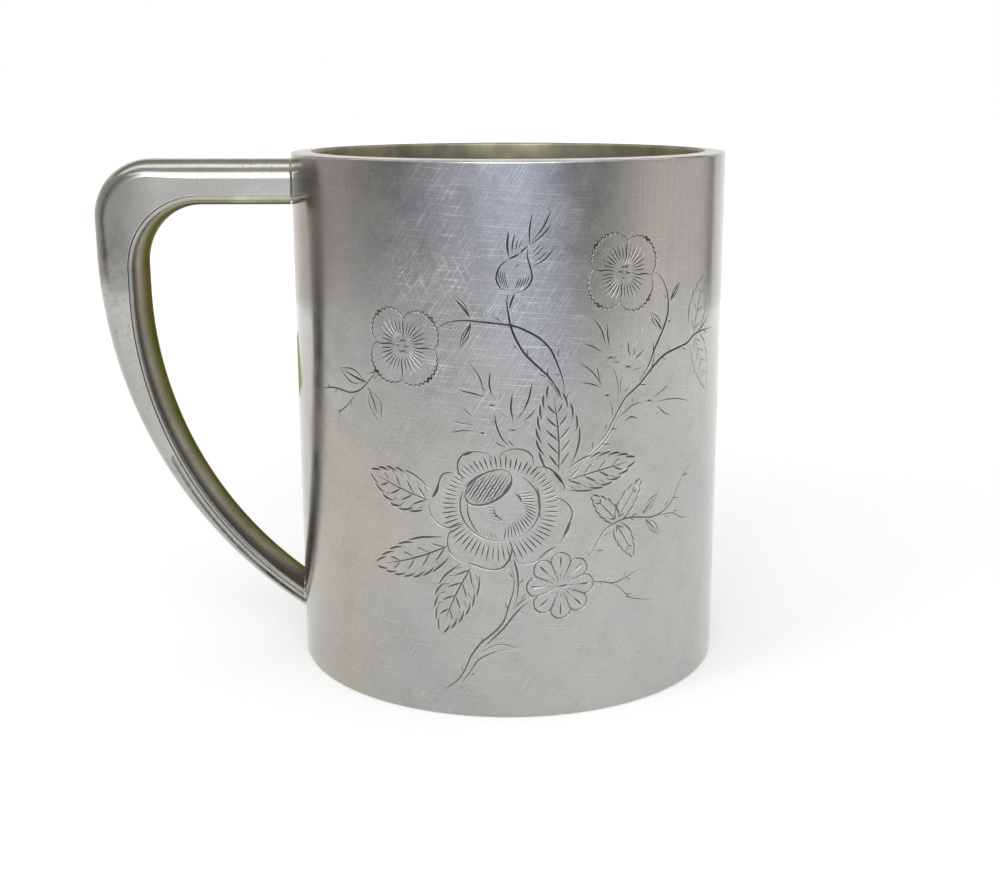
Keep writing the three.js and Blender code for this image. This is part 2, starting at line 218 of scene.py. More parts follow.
def rose(centre):
    """The open rose: a ball with a crosshatched bud in it, a ring of short rays and seven petals."""
    cx, cz = centre
    ball = (6.3, 5.7)

    def on_ball(degrees, grow=1.0):
        turn = np.radians(degrees)
        return np.stack([cx + ball[0] * grow * np.cos(turn), cz + ball[1] * grow * np.sin(turn)], -1)

    carve(on_ball(np.linspace(155, 290, 40)), 0.3, 0.35)
    carve(on_ball(np.linspace(285, 420, 40)), 0.26, 0.6)
    carve(on_ball(np.linspace(55, 150, 28)), 0.3, 0.75)
    for degrees in np.arange(4, 360, 5.6):
        reach = 1.5 + 0.04 * math.sin(degrees * 1.7) - 0.08 * math.sin(math.radians(degrees))
        start, end = on_ball(degrees, 1.06), on_ball(degrees + 1.5, reach)
        carve(smooth_line([start, end]), 0.3, 0.6)
    # The bud: a tilted oval, hatched in pairs one way and finely the other
    bud, long_half, short_half, tilt = np.array((cx - 1.8, cz + 3.0)), 4.1, 2.3, math.radians(32)
    lean = np.array((math.cos(tilt), math.sin(tilt)))
    over = np.array((-lean[1], lean[0]))

    def in_bud(along, across):
        return bud + np.multiply.outer(along, lean) + np.multiply.outer(across, over)

    round_bud = np.linspace(0, 2 * np.pi, 60)
    oval = in_bud(long_half * np.cos(round_bud), short_half * np.sin(round_bud))
    carve(oval[28:60], 0.42, 0.5, 0.3)
    carve(oval[:30], 0.28, 0.5, 0.3)
    slant = np.array((0.755, 0.656))
    for line, aside in enumerate(np.linspace(-0.84, 0.88, 11)):
        half = 0.9 * math.sqrt(1 - aside**2)
        ends = aside * np.array((slant[1], -slant[0])) + np.outer((-half, half), slant)
        hatch = in_bud(long_half * ends[:, 0], short_half * ends[:, 1])
        carve(smooth_line(hatch), (0.3, 0.2)[line % 2], 0.4)
    for place in np.linspace(-0.75, 0.75, 7):
        half = long_half * math.sqrt(1 - place**2) * 0.85
        ends = [in_bud(-half, short_half * place), in_bud(half, short_half * place)]
        carve(smooth_line(ends), 0.12, 0.5)
    # The ball's inner petals: folds at the left, a curl in the middle and two rows of rays
    cut((-6.4, 36.0, -6.4, 34.4, -5.7, 32.6, -4.6, 30.9), 0.26, 0.4)
    cut((-7.0, 37.2, -6.1, 36.0), 0.2)
    cut((-6.0, 33.2, -5.3, 31.8, -4.2, 30.6), 0.18)
    cut((-2.3, 35.6, -2.0, 34.2, -0.7, 33.1), 0.28, 0.6)
    cut((0.9, 37.7, 1.7, 37.1, 2.1, 36.1), 0.3, 0.6)
    for row in range(5):
        flick(-3.9 + 0.15 * row, 35.3 - 0.45 * row, -2.2 + 0.3 * row, 35.1 - 0.5 * row, 0.1, 0.22, 0.6)
    for share in np.linspace(0, 1, 18):
        degrees = -84 + 110 * share
        start, end = on_ball(degrees, 0.95), on_ball(degrees + 10, 0.58 - 0.06 * math.sin(share * 9))
        carve(smooth_line([start, end]), 0.26, 0.45)
    for share in np.linspace(0, 1, 9):
        degrees = 212 + 55 * share
        carve(smooth_line([on_ball(degrees, 0.95), on_ball(degrees - 9, 0.78)]), 0.15, 0.5)
    for share in np.linspace(0, 1, 7):
        flick(4.3 + 0.35 * share, 38.7 - 3.9 * share, 5.0 + 0.1 * share, 36.9 - 3.6 * share, 0.1, 0.2)
    # The outer petals, each a swelling line with a heavy accent
    cut((-6.9, 39.5, -7.9, 41.2, -7.8, 42.7, -6.7, 43.9, -4.6, 44.2, -2.9, 43.6, -2.1, 42.3), 0.3, 0.4)
    flick(-7.0, 43.5, -5.6, 44.1, 0.1, 0.5, 0.4)
    cut((-1.8, 42.4, -1.0, 44.0, 0.4, 44.6, 2.3, 44.6, 3.7, 43.6, 4.0, 41.8), 0.28, 0.6)
    cut((2.9, 40.3, 4.2, 41.5, 5.9, 41.7, 7.3, 40.8, 8.5, 39.2, 8.9, 38.2, 8.6, 37.3), 0.3, 0.6)
    flick(6.9, 41.1, 8.7, 38.8, 0.12, 0.55)
    cut((6.0, 36.4, 7.9, 36.6, 9.5, 35.5, 10.2, 34.0, 9.7, 32.3, 9.0, 30.9, 8.2, 29.1), 0.3, 0.6)
    flick(9.9, 32.8, 8.7, 30.0, 0.12, 0.65)
    cut((7.6, 28.6, 6.4, 27.9, 5.0, 26.8, 3.6, 26.2, 2.0, 26.2, 0.8, 27.1), 0.26, 0.3)
    flick(7.4, 28.6, 4.9, 26.9, -0.15, 0.6)
    cut((0.2, 30.0, 0.6, 28.6, 0.2, 27.0, -0.8, 25.6, -2.3, 25.1, -4.4, 25.4, -6.2, 26.0, -7.4, 26.1),
        0.32, 0.3)
    flick(-3.6, 25.3, -6.6, 26.1, -0.05, 0.42)
    cut((-7.6, 26.2, -9.2, 27.6, -9.7, 29.1, -9.5, 30.6, -8.9, 31.5), 0.28, 0.5)
    cut((-7.0, 32.6, -8.6, 32.0, -9.8, 31.7, -11.3, 32.3, -12.5, 33.9, -12.7, 35.6, -12.2, 36.4),
        0.26, 0.3)
    cut((-12.4, 36.2, -11.5, 37.4, -11.0, 39.1, -10.4, 40.3, -9.2, 40.7, -8.2, 40.5), 0.28, 0.5)
    flick(-12.2, 36.4, -11.0, 39.0, -0.2, 0.55)


def rosebud():
    """The bud at the top: an egg with curved rays and a crown of long sepals."""
    cut((0.0, 73.9, -1.3, 72.8, -1.8, 71.2, -1.3, 69.8, -0.1, 69.0), 0.3, 0.5)
    cut((2.9, 76.0, 2.9, 74.2, 3.4, 72.6, 3.6, 71.1, 3.0, 69.8, 1.9, 69.0, 0.9, 68.9), 0.32, 0.5)
    for step in range(4):
        flick(-1.5 + 0.32 * step, 72.7 - 0.15 * step, -0.9 + 0.33 * step, 69.7 - 0.1 * step, -0.18, 0.2)
    for step in range(5):
        flick(3.2 - 0.4 * step, 71.7 - 0.1 * step, 2.4 - 0.36 * step, 69.8 - 0.1 * step, 0.15, 0.2)
    for stroke in (
        (0.0, 73.9, 1.7, 74.8, -0.1, 0.45), (1.7, 74.7, 3.0, 75.9, 0.1, 0.3),
        (1.0, 72.6, 1.6, 73.3, 0, 0.25), (0.1, 78.2, 0.1, 74.3, -0.25, 0.4),
        (1.0, 77.7, 0.6, 74.9, -0.15, 0.28), (1.6, 77.0, 1.1, 75.1, -0.1, 0.24),
        (2.0, 76.6, 1.5, 75.4, 0, 0.2), (3.2, 76.0, 3.6, 80.8, 0.2, 0.3),
        (3.2, 76.1, 6.6, 81.4, -0.35, 0.3), (3.0, 75.8, 6.6, 79.2, -0.3, 0.36),
        (4.9, 76.3, 3.4, 74.6, 0.1, 0.24), (5.5, 75.9, 3.5, 73.9, 0.1, 0.24),
        (6.2, 75.4, 3.7, 73.2, 0.15, 0.26), (7.0, 75.7, 3.6, 72.8, 0.5, 0.34),
    ):
        flick(*stroke)


def star(dot, rays):
    """A starry blossom: a dot with thin rays, each a flick with its own bow and width."""
    flick(dot[0] - 0.28, dot[1], dot[0] + 0.32, dot[1] - 0.05, 0, 0.38)
    for ray in rays:
        flick(*ray)


rose((-1.3, 35.5))
mallow((-16.9, 60.2), 6.75, -3, (0.8, 0.63, 0.72, 0.8), 0.42)
mallow((18.5, 71.4), 6.7, -8, (0.8, 0.72, 0.8, 0.66), 0.55)
daisy((8.4, 22.2))
rosebud()
for leaf_shape in (
    ((-12.8, 35.9), (-23.5, 39.4), 3.2, 0.2, (6, 0.24), (5, 0.5), 4, 5),
    ((-9.6, 28.7), (-22.7, 24.0), 3.0, 0.5, (7, 0.3), (5, 0.46), 4, 0),
    ((-5.9, 25.4), (-10.9, 14.2), 3.1, -0.4, (6, 0.34), (5, 0.42), 4, 5),
    ((7.9, 41.0), (6.6, 54.7), 3.4, -0.5, (7, 0.26), (5, 0.48), 5, 0),
    ((9.0, 39.3), (21.4, 41.6), 2.8, 0.2, (6, 0.4), (6, 0.34), 4, 8),
    ((35.2, 59.7), (40.4, 50.2), 2.6, 0.3, (5, 0.4), (5, 0.4), 4, 0, 0.6),
    ((35.0, 60.3), (38.4, 69.4), 2.8, 0.3, (4, 0.5), (4, 0.5), 3, 0, 0.6),
    ((17.9, 32.0), (13.4, 36.6), 1.5, -0.1, (5, 0.3), (4, 0.4), 2, 0, 0.8),
    ((18.1, 32.2), (22.6, 38.2), 1.5, 0.1, (4, 0.4), (5, 0.3), 2, 0, 0.8),
    ((17.8, 31.4), (21.3, 25.4), 1.5, 0.2, (4, 0.5), (5, 0.4), 2, 0, 0.8),
):
    leaf(*leaf_shape)
for leaflet in (
    ((-24.0, 53.7), (-30.2, 55.3), 1.1, 0.1), ((-23.7, 53.0), (-21.3, 47.4), 1.2, 0.2),
    ((23.0, 32.2), (26.3, 35.2), 0.6, 0.0),
    ((23.6, 31.3), (26.9, 28.2), 0.7, 0.1), ((28.1, 66.2), (30.5, 69.0), 0.4, 0.0),
    ((26.4, 61.8), (23.8, 64.9), 0.6, 0.0), ((-5.8, 65.0), (-8.4, 68.4), 0.35, -0.25),
    ((-5.6, 64.3), (-7.5, 60.4), 0.45, 0.05),
):
    small_leaf(*leaflet)
# The stems: long swelling lines, doubled where a stem is thick
for stem in (
    ((-10.6, 4.3, -8.2, 6.2, -6.8, 8.5, -6.0, 10.5, -4.4, 12.8, -2.0, 14.9, -0.6, 16.8, 0.0, 19.0,
      0.8, 21.5, 0.9, 24.0, 0.2, 26.3), 0.34, 0.45),
    ((-8.1, 5.1, -6.2, 7.7, -5.0, 9.7, -3.2, 10.9, -1.0, 11.6, 1.9, 11.8), 0.26, 0.5),
    ((-4.6, 11.1, -2.6, 12.3, -0.6, 12.6, 1.8, 11.8), 0.28, 0.6),
    ((-4.0, 12.1, -2.0, 14.0, -0.6, 15.5, 0.9, 17.6, 2.6, 19.3, 4.1, 20.0), 0.34, 0.5),
    ((0.7, 18.7, 1.4, 20.6, 1.6, 22.8, 1.4, 25.0, 0.8, 27.0), 0.4, 0.7),
    ((0.7, 18.5, 2.0, 19.8, 3.6, 20.7), 0.28, 0.5),
    ((-11.1, 63.3, -9.0, 64.3, -6.5, 64.6, -3.0, 64.3, 0.6, 63.9, 3.0, 63.0, 5.0, 61.8, 6.5, 60.2,
      7.5, 58.1, 8.3, 56.0, 8.7, 54.0, 8.6, 52.4), 0.42, 0.5),
    ((0.0, 69.0, -0.2, 67.5, 0.1, 65.2, 0.6, 63.2, 1.4, 61.4, 2.6, 59.5, 4.4, 57.7, 6.2, 56.0,
      7.6, 54.0, 8.5, 52.0), 0.42, 0.5),
    ((1.0, 69.0, 0.5, 67.6, 0.1, 66.4), 0.34, 0.5),
    ((6.0, 55.8, 7.0, 54.2, 8.2, 52.4), 0.2, 0.5),
    ((24.0, 71.1, 25.6, 70.4, 27.0, 68.6, 27.7, 66.4, 27.6, 64.0, 26.4, 61.4, 24.9, 59.0, 23.6, 56.3,
      21.6, 53.9), 0.4, 0.55),
    ((10.6, 41.8, 13.8, 44.2, 15.9, 46.4, 17.5, 49.2, 19.3, 51.8, 22.0, 53.7, 24.5, 56.0, 27.0, 57.7,
      30.0, 58.4, 33.0, 58.9, 35.0, 59.9, 38.0, 60.3, 43.0, 60.1), 0.36, 0.55),
    ((11.4, 41.7, 14.6, 44.2, 16.4, 46.2, 17.9, 48.8, 19.0, 50.6), 0.2, 0.5),
    ((16.8, 56.9, 17.7, 54.4, 17.9, 51.0), 0.2, 0.5),
    ((18.8, 55.6, 18.2, 54.0, 18.3, 52.2), 0.18, 0.5),
    ((16.2, 51.5, 16.9, 50.1, 16.8, 48.8), 0.2, 0.5),
    ((22.8, 50.7, 20.5, 50.4, 17.8, 48.4), 0.24, 0.6),
    ((-2.1, 50.6, -1.8, 48.4, -1.0, 46.5, 0.2, 45.1), 0.28, 0.5),
    ((-2.1, 46.0, -1.3, 45.3, -0.2, 44.9), 0.22, 0.5),
    ((13.1, 26.5, 14.5, 28.8, 15.8, 30.6, 17.6, 31.6, 20.0, 32.1, 22.6, 31.8, 25.0, 31.4, 27.6, 31.8,
      29.9, 33.2, 31.4, 35.4, 33.2, 37.2, 35.6, 38.4), 0.28, 0.3),
    ((26.4, 31.4, 30.0, 31.1, 32.6, 29.8, 35.0, 29.2), 0.22, 0.5),
    ((13.9, 22.3, 15.5, 22.1, 17.2, 21.6, 19.0, 21.8, 20.6, 22.4, 22.9, 23.2), 0.24, 0.3),
    ((17.0, 21.6, 18.8, 20.6, 20.0, 19.2, 21.4, 18.3, 25.4, 17.2), 0.22, 0.4),
    ((-21.8, 55.8, -23.0, 54.6, -24.1, 53.4, -25.7, 52.2, -28.0, 51.6, -31.0, 51.8, -34.0, 51.5,
      -38.0, 50.2), 0.28, 0.4),
    ((-26.0, 51.9, -27.5, 50.5, -29.0, 49.0, -30.5, 48.0, -31.4, 45.6), 0.24, 0.5),
    ((36.2, 60.4, 38.2, 61.0, 40.5, 62.6), 0.24, 0.5),
):
    cut(*stem)
star((-2.5, 51.6), (
    (-3.6, 53.1, -6.3, 58.5, -0.6, 0.2), (-3.4, 52.8, -7.8, 53.8, -0.1, 0.34),
    (-2.4, 53.0, -2.7, 57.0, 0.35, 0.3), (-1.6, 52.4, -1.0, 53.6, 0, 0.14),
    (-3.0, 53.6, -3.9, 54.2, 0, 0.18),
))
star((0.7, 47.7), (
    (0.8, 49.1, 0.7, 53.5, 0.35, 0.34), (2.1, 50.2, 3.7, 55.3, -0.3, 0.3),
    (2.1, 48.9, 4.3, 51.1, -0.2, 0.26), (-2.0, 50.5, 0.3, 49.4, 0.2, 0.14),
    (1.6, 49.6, 2.1, 50.6, 0, 0.22),
))
star((-4.0, 47.2), (
    (-4.8, 48.4, -9.4, 49.0, 0.1, 0.2), (-5.0, 47.4, -9.2, 47.0, -0.3, 0.26),
    (-5.5, 49.6, -7.1, 51.1, 0, 0.26), (-2.6, 49.4, -2.0, 48.8, 0, 0.2),
))
star((16.4, 58.4), (
    (15.5, 60.2, 13.0, 65.0, -0.5, 0.28), (16.2, 60.0, 15.8, 63.7, 0.2, 0.3),
    (15.0, 59.2, 11.5, 60.9, -0.25, 0.24), (16.7, 57.6, 18.3, 57.5, 0, 0.2),
    (15.0, 56.7, 17.0, 57.0, 0, 0.12),
))
star((19.6, 56.7), (
    (19.9, 58.2, 19.5, 60.9, 0.1, 0.26), (20.6, 58.0, 20.9, 59.7, 0, 0.26),
    (20.7, 57.6, 23.0, 59.4, -0.1, 0.24), (20.9, 60.0, 22.4, 62.6, 0.1, 0.12),
    (20.2, 56.0, 22.2, 56.3, 0, 0.16),
))
star((15.9, 52.5), (
    (15.3, 53.5, 10.8, 58.2, -0.5, 0.24), (14.8, 53.8, 11.2, 54.8, -0.2, 0.24),
    (14.7, 54.6, 14.0, 57.3, 0.1, 0.22),
))
star((23.9, 50.8), (
    (25.0, 51.2, 28.4, 52.9, -0.1, 0.2), (25.4, 50.4, 34.2, 49.2, 0.5, 0.22),
    (25.6, 49.9, 29.0, 47.6, -0.3, 0.24), (22.0, 52.0, 23.6, 51.6, 0, 0.14),
    (24.5, 51.8, 24.5, 53.2, 0, 0.1), (23.4, 49.6, 23.7, 48.2, 0, 0.12),
))
flick(19.0, 47.9, 21.8, 48.1, 0.6, 0.26)
# Thorns and stray cuts: short flicks off the stems
for thorn in (
    (-4.2, 12.9, -4.2, 14.0), (-7.4, 7.8, -7.5, 8.9), (-6.1, 7.1, -5.3, 7.6), (0.0, 18.6, -0.6, 19.7),
    (-1.3, 14.2, -0.3, 14.4), (0.8, 23.7, 0.1, 24.9), (1.8, 22.8, 2.5, 23.7), (2.1, 20.1, 2.7, 21.1),
    (1.9, 17.9, 2.5, 18.0), (3.0, 59.3, 2.9, 60.5), (6.2, 56.1, 6.0, 57.4), (7.6, 59.0, 7.9, 60.4),
    (5.9, 55.9, 4.7, 56.5), (8.1, 56.1, 7.1, 56.4), (5.9, 60.8, 4.9, 60.9), (9.0, 52.4, 9.7, 53.6),
    (1.4, 60.4, 0.8, 61.0), (0.9, 45.1, 0.0, 46.2), (27.7, 62.8, 28.6, 63.2), (27.3, 66.6, 26.5, 67.6),
    (26.5, 57.4, 27.5, 56.8), (28.4, 58.0, 28.0, 59.4), (31.6, 58.2, 33.0, 57.8),
    (24.2, 55.2, 25.0, 58.4), (22.0, 53.5, 23.4, 53.4), (19.0, 52.6, 20.0, 53.3),
    (16.6, 46.9, 17.9, 47.0), (15.7, 46.9, 15.8, 48.0), (13.4, 44.1, 13.6, 45.6),
    (15.2, 44.7, 16.8, 44.6), (20.4, 50.6, 20.8, 51.8), (24.6, 58.4, 24.7, 60.4),
    (15.0, 22.2, 15.2, 21.3), (15.8, 22.3, 16.7, 22.8), (19.4, 21.9, 20.1, 23.4),
    (20.0, 22.0, 21.0, 21.6), (20.0, 19.3, 21.3, 19.0), (20.0, 19.1, 20.4, 18.3),
    (14.4, 27.4, 15.8, 27.3), (13.3, 26.6, 12.8, 27.4), (15.6, 29.6, 17.2, 30.2),
    (20.8, 32.2, 22.0, 32.5), (20.6, 31.9, 21.4, 31.4), (28.0, 32.6, 29.0, 33.4),
    (30.2, 33.6, 31.8, 33.3), (32.6, 36.8, 34.6, 37.0), (28.2, 31.0, 29.2, 30.4),
    (30.4, 31.2, 31.6, 31.3), (-21.9, 55.7, -23.8, 55.2), (-27.5, 50.4, -27.7, 49.1),
    (-30.2, 48.4, -31.4, 47.9), (-31.0, 51.7, -31.8, 51.0), (-33.0, 51.6, -34.0, 52.3),
    (-21.9, 55.3, -22.2, 54.3), (-8.6, 63.4, -9.2, 63.2), (38.6, 60.3, 40.0, 59.4),
    (-2.2, 65.2, -0.9, 64.4),
):
    flick(*thorn, 0.05, 0.22, 0.35)


# The body is plated sheet, rolled to a tube and let round its base. Its outside is one skin with the
# engraving cut into it: the strokes' rails and a plain grid are triangulated on the flat sheet, each
# point is pressed in by the depth of the groove there, and the sheet is bent round the mug's axis.
body_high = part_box("body_wall")[1]
body_radius = body_high.x / mm
wall_top = body_high.z / mm
wall_thickness = 1.2
bore_radius = body_radius - wall_thickness
foot_rounding = 0.5
seam_half = 0.3
grid_step = 1.3
groove_slope = 0.62
lip_share = 1.5
lip_height = 0.005
blackest_half = 0.18
seam_at = -math.pi / 2 * body_radius
sheet_from = seam_at + seam_half
sheet_to = seam_at + 2 * math.pi * body_radius - seam_half
columns = int((sheet_to - sheet_from) / grid_step)
round_steps = np.linspace(sheet_from, sheet_to, columns + 1)
height_steps = np.linspace(foot_rounding, wall_top, int(wall_top / grid_step) + 1)


def rails_of(line, half):
    """The five lines that a stroke lays on the sheet: its bottom, its two edges, its lips' outsides."""
    ahead = np.gradient(line, axis=0)
    ahead /= np.linalg.norm(ahead, axis=1)[:, None] + 1e-12
    left = np.stack([-ahead[:, 1], ahead[:, 0]], -1)
    return [line + left * (half * share)[:, None] for share in (-lip_share, -1, 0, 1, lip_share)]


def triangulated_sheet():
    """Delaunay's triangles over the grid and the rails, with every rail kept as an edge."""
    spots, edges = [], []

    def lay(points):
        start = sum(map(len, spots))
        spots.append(points)
        edges.extend((start + k, start + k + 1) for k in range(len(points) - 1))

    for line, half in strokes:
        for rail in rails_of(line, half):
            lay(rail)
    for height in (height_steps[0], height_steps[-1]):
        lay(np.stack([round_steps, np.full(columns + 1, height)], -1))
    for place in (sheet_from, sheet_to):
        lay(np.stack([np.full(len(height_steps), place), height_steps], -1))
    grid = np.stack(np.meshgrid(round_steps[1:-1], height_steps[1:-1]), -1).reshape(-1, 2)
    spots.append(grid)
    points = [Vector(p) for p in np.concatenate(spots)]
    made = delaunay_2d_cdt(points, edges, [], 0, 1e-4, False)
    return np.array(made[0], float), np.array([f for f in made[2] if len(f) == 3])


def press_of(spots):
    """How far each spot lies above the sheet. Across a stroke the height runs straight from minus the
    groove's depth at its middle to the lip at its edge and to zero at the lip's outside. Where two
    strokes cross, the deeper counts."""
    deepest = np.zeros(len(spots))
    highest = np.zeros(len(spots))
    for line, half in strokes:
        reach = half.max() * lip_share + 0.01
        near = np.flatnonzero(
            np.all((spots > line.min(0) - reach) & (spots < line.max(0) + reach), axis=1)
        )
        a, b = line[:-1], line[1:]
        along = b - a
        share = np.einsum("nmk,mk->nm", spots[near, None] - a, along) / ((along**2).sum(1) + 1e-12)
        share = share.clip(0, 1)
        away = np.linalg.norm(spots[near, None] - a - share[..., None] * along, axis=2)
        width = half[:-1] + share * (half[1:] - half[:-1])
        away_share = away / width
        height = np.interp(away_share, (0, 1, lip_share), (-1, 0, 0)) * groove_slope * width
        lip = np.interp(away_share, (0.6, 1, lip_share), (0, lip_height, 0))
        deepest[near] = np.minimum(deepest[near], height.min(1))
        highest[near] = np.maximum(highest[near], lip.max(1))
    return np.where(deepest < -1e-6, deepest, highest)


def bent(spots, radius):
    """Flat spots of the sheet bent to a tube: the way round becomes an angle at that radius."""
    turn = spots[:, 0] / body_radius
    return np.stack([radius * np.sin(turn), -radius * np.cos(turn), spots[:, 1]], -1)


def grid_faces(rows, places, close_rows=False, close_places=False):
    """The squares of a grid of points stored row by row, joined back to the start where asked."""
    row = np.arange(rows if close_rows else rows - 1)[:, None]
    place = np.arange(places if close_places else places - 1)[None, :]
    next_row, next_place = (row + 1) % rows, (place + 1) % places
    corners = (row * places + place, row * places + next_place,
               next_row * places + next_place, next_row * places + place)
    return np.stack(corners, -1).reshape(-1, 4)


def arc(centre_x, centre_z, radius, from_degrees, to_degrees, steps=8):
    """Points on a circle's arc, as pairs of radius and height."""
    turn = np.radians(np.linspace(from_degrees, to_degrees, steps + 1))
    return np.stack([centre_x + radius * np.cos(turn), centre_z + radius * np.sin(turn)], -1)


def shown_piece(name, points, faces, material):
    """Makes the piece from points in millimetres, rides it on the mug and gives it its material."""
    mesh = bpy.data.meshes.new(name)
    mesh.from_pydata((np.asarray(points) * mm).tolist(), [], [list(map(int, f)) for f in faces])
    mesh.materials.append(material)
    mesh.shade_smooth()
    piece = bpy.data.objects.new(name, mesh)
    bpy.context.scene.collection.objects.link(piece)
    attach(piece, "root")
    return piece


def welded(mesh, distance, fill=False, recalculate=False):
    """Merges the points within that many millimetres, and fills holes or turns faces outwards."""
    skin = bmesh.new()
    skin.from_mesh(mesh)
    bmesh.ops.remove_doubles(skin, verts=skin.verts, dist=distance * mm)
    if fill:
        bmesh.ops.holes_fill(skin, edges=[e for e in skin.edges if e.is_boundary])
    if recalculate:
        bmesh.ops.recalc_face_normals(skin, faces=skin.faces)
    skin.to_mesh(mesh)
    skin.free()


# Short words for the nodes that every finish here is mixed from, with the setting that each needs
node_words = {
    "sum": ("Math", {"operation": "ADD"}),
    "product": ("Math", {"operation": "MULTIPLY"}),
    "blend": ("Mix", {"data_type": "RGBA"}),
    "range": ("MapRange", {"interpolation_type": "SMOOTHSTEP"}),
    "noise": ("TexNoise", {}),
}


def node(tree, kind, *values, named=(), out=None, **settings):
    """Adds a shader node with its settings and links. Values go to its inputs in their order, or by
    name, and those that are over go to more such nodes, one after the other, with the result so far.
    Gives back the output that is asked for, or else the first."""
    kind, usual = node_words.get(kind, (kind, {}))
    settings = {**usual, **settings}
    made = tree.nodes.new("ShaderNode" + kind)
    for name, value in settings.items():
        setattr(made, name, value)
    inputs = [s for s in made.inputs if s.enabled]
    by_name = [(made.inputs[name], value) for name, value in dict(named).items()]
    for socket, value in [*zip(inputs, values), *by_name]:
        if isinstance(value, bpy.types.NodeSocket):
            tree.links.new(value, socket)
        else:
            socket.default_value = value
    result = next((s for s in made.outputs if s.enabled and out in (None, s.name)), made)
    over = values[len(inputs):]
    return node(tree, kind, result, *over, **settings) if over else result


def linear(code):
    """An sRGB hex colour as linear red, green, blue and alpha."""
    parts = np.array([int(code[k:k + 2], 16) for k in (1, 3, 5)]) / 255
    parts = np.where(parts <= 0.04045, parts / 12.92, ((parts + 0.055) / 1.055) ** 2.4)
    return (*parts, 1)


def new_material(name):
    """An empty node material and its tree."""
    material = bpy.data.materials.new(name)
    material.use_nodes = True
    material.node_tree.nodes.clear()
    return material, material.node_tree


def hairlines(tree, place, degrees, spacing, length, least=0.6):
    """Fine bowed scratches at an angle: noise drawn out along them, of which the peaks are kept."""
    turned = node(tree, "Mapping", place, (degrees * mm, 0, 0), (0, 0, math.radians(degrees)))
    drawn = node(tree, "Mapping", turned, named={"Scale": (1 / (length * mm), 1 / (spacing * mm), 1)})
    lines = node(tree, "noise", drawn, 1, 1, named={"Distortion": 0.25})
    return node(tree, "range", lines, least, least + 0.12)


def metal_skin(material, tree, colour, roughness, relief, depth, film=(1, 1, 1, 1)):
    """Joins a metal's colour, its roughness and its relief, whose depth is in millimetres. The film is
    the metal's tint at a glance."""
    normal = node(tree, "Bump", named={"Height": relief, "Strength": 1, "Distance": depth * mm})
    surface = node(tree, "BsdfPrincipled", named={
        "Base Color": colour, "Metallic": 1, "Specular Tint": film, "Roughness": roughness,
        "Normal": normal,
    })
    node(tree, "OutputMaterial", surface)
    return material


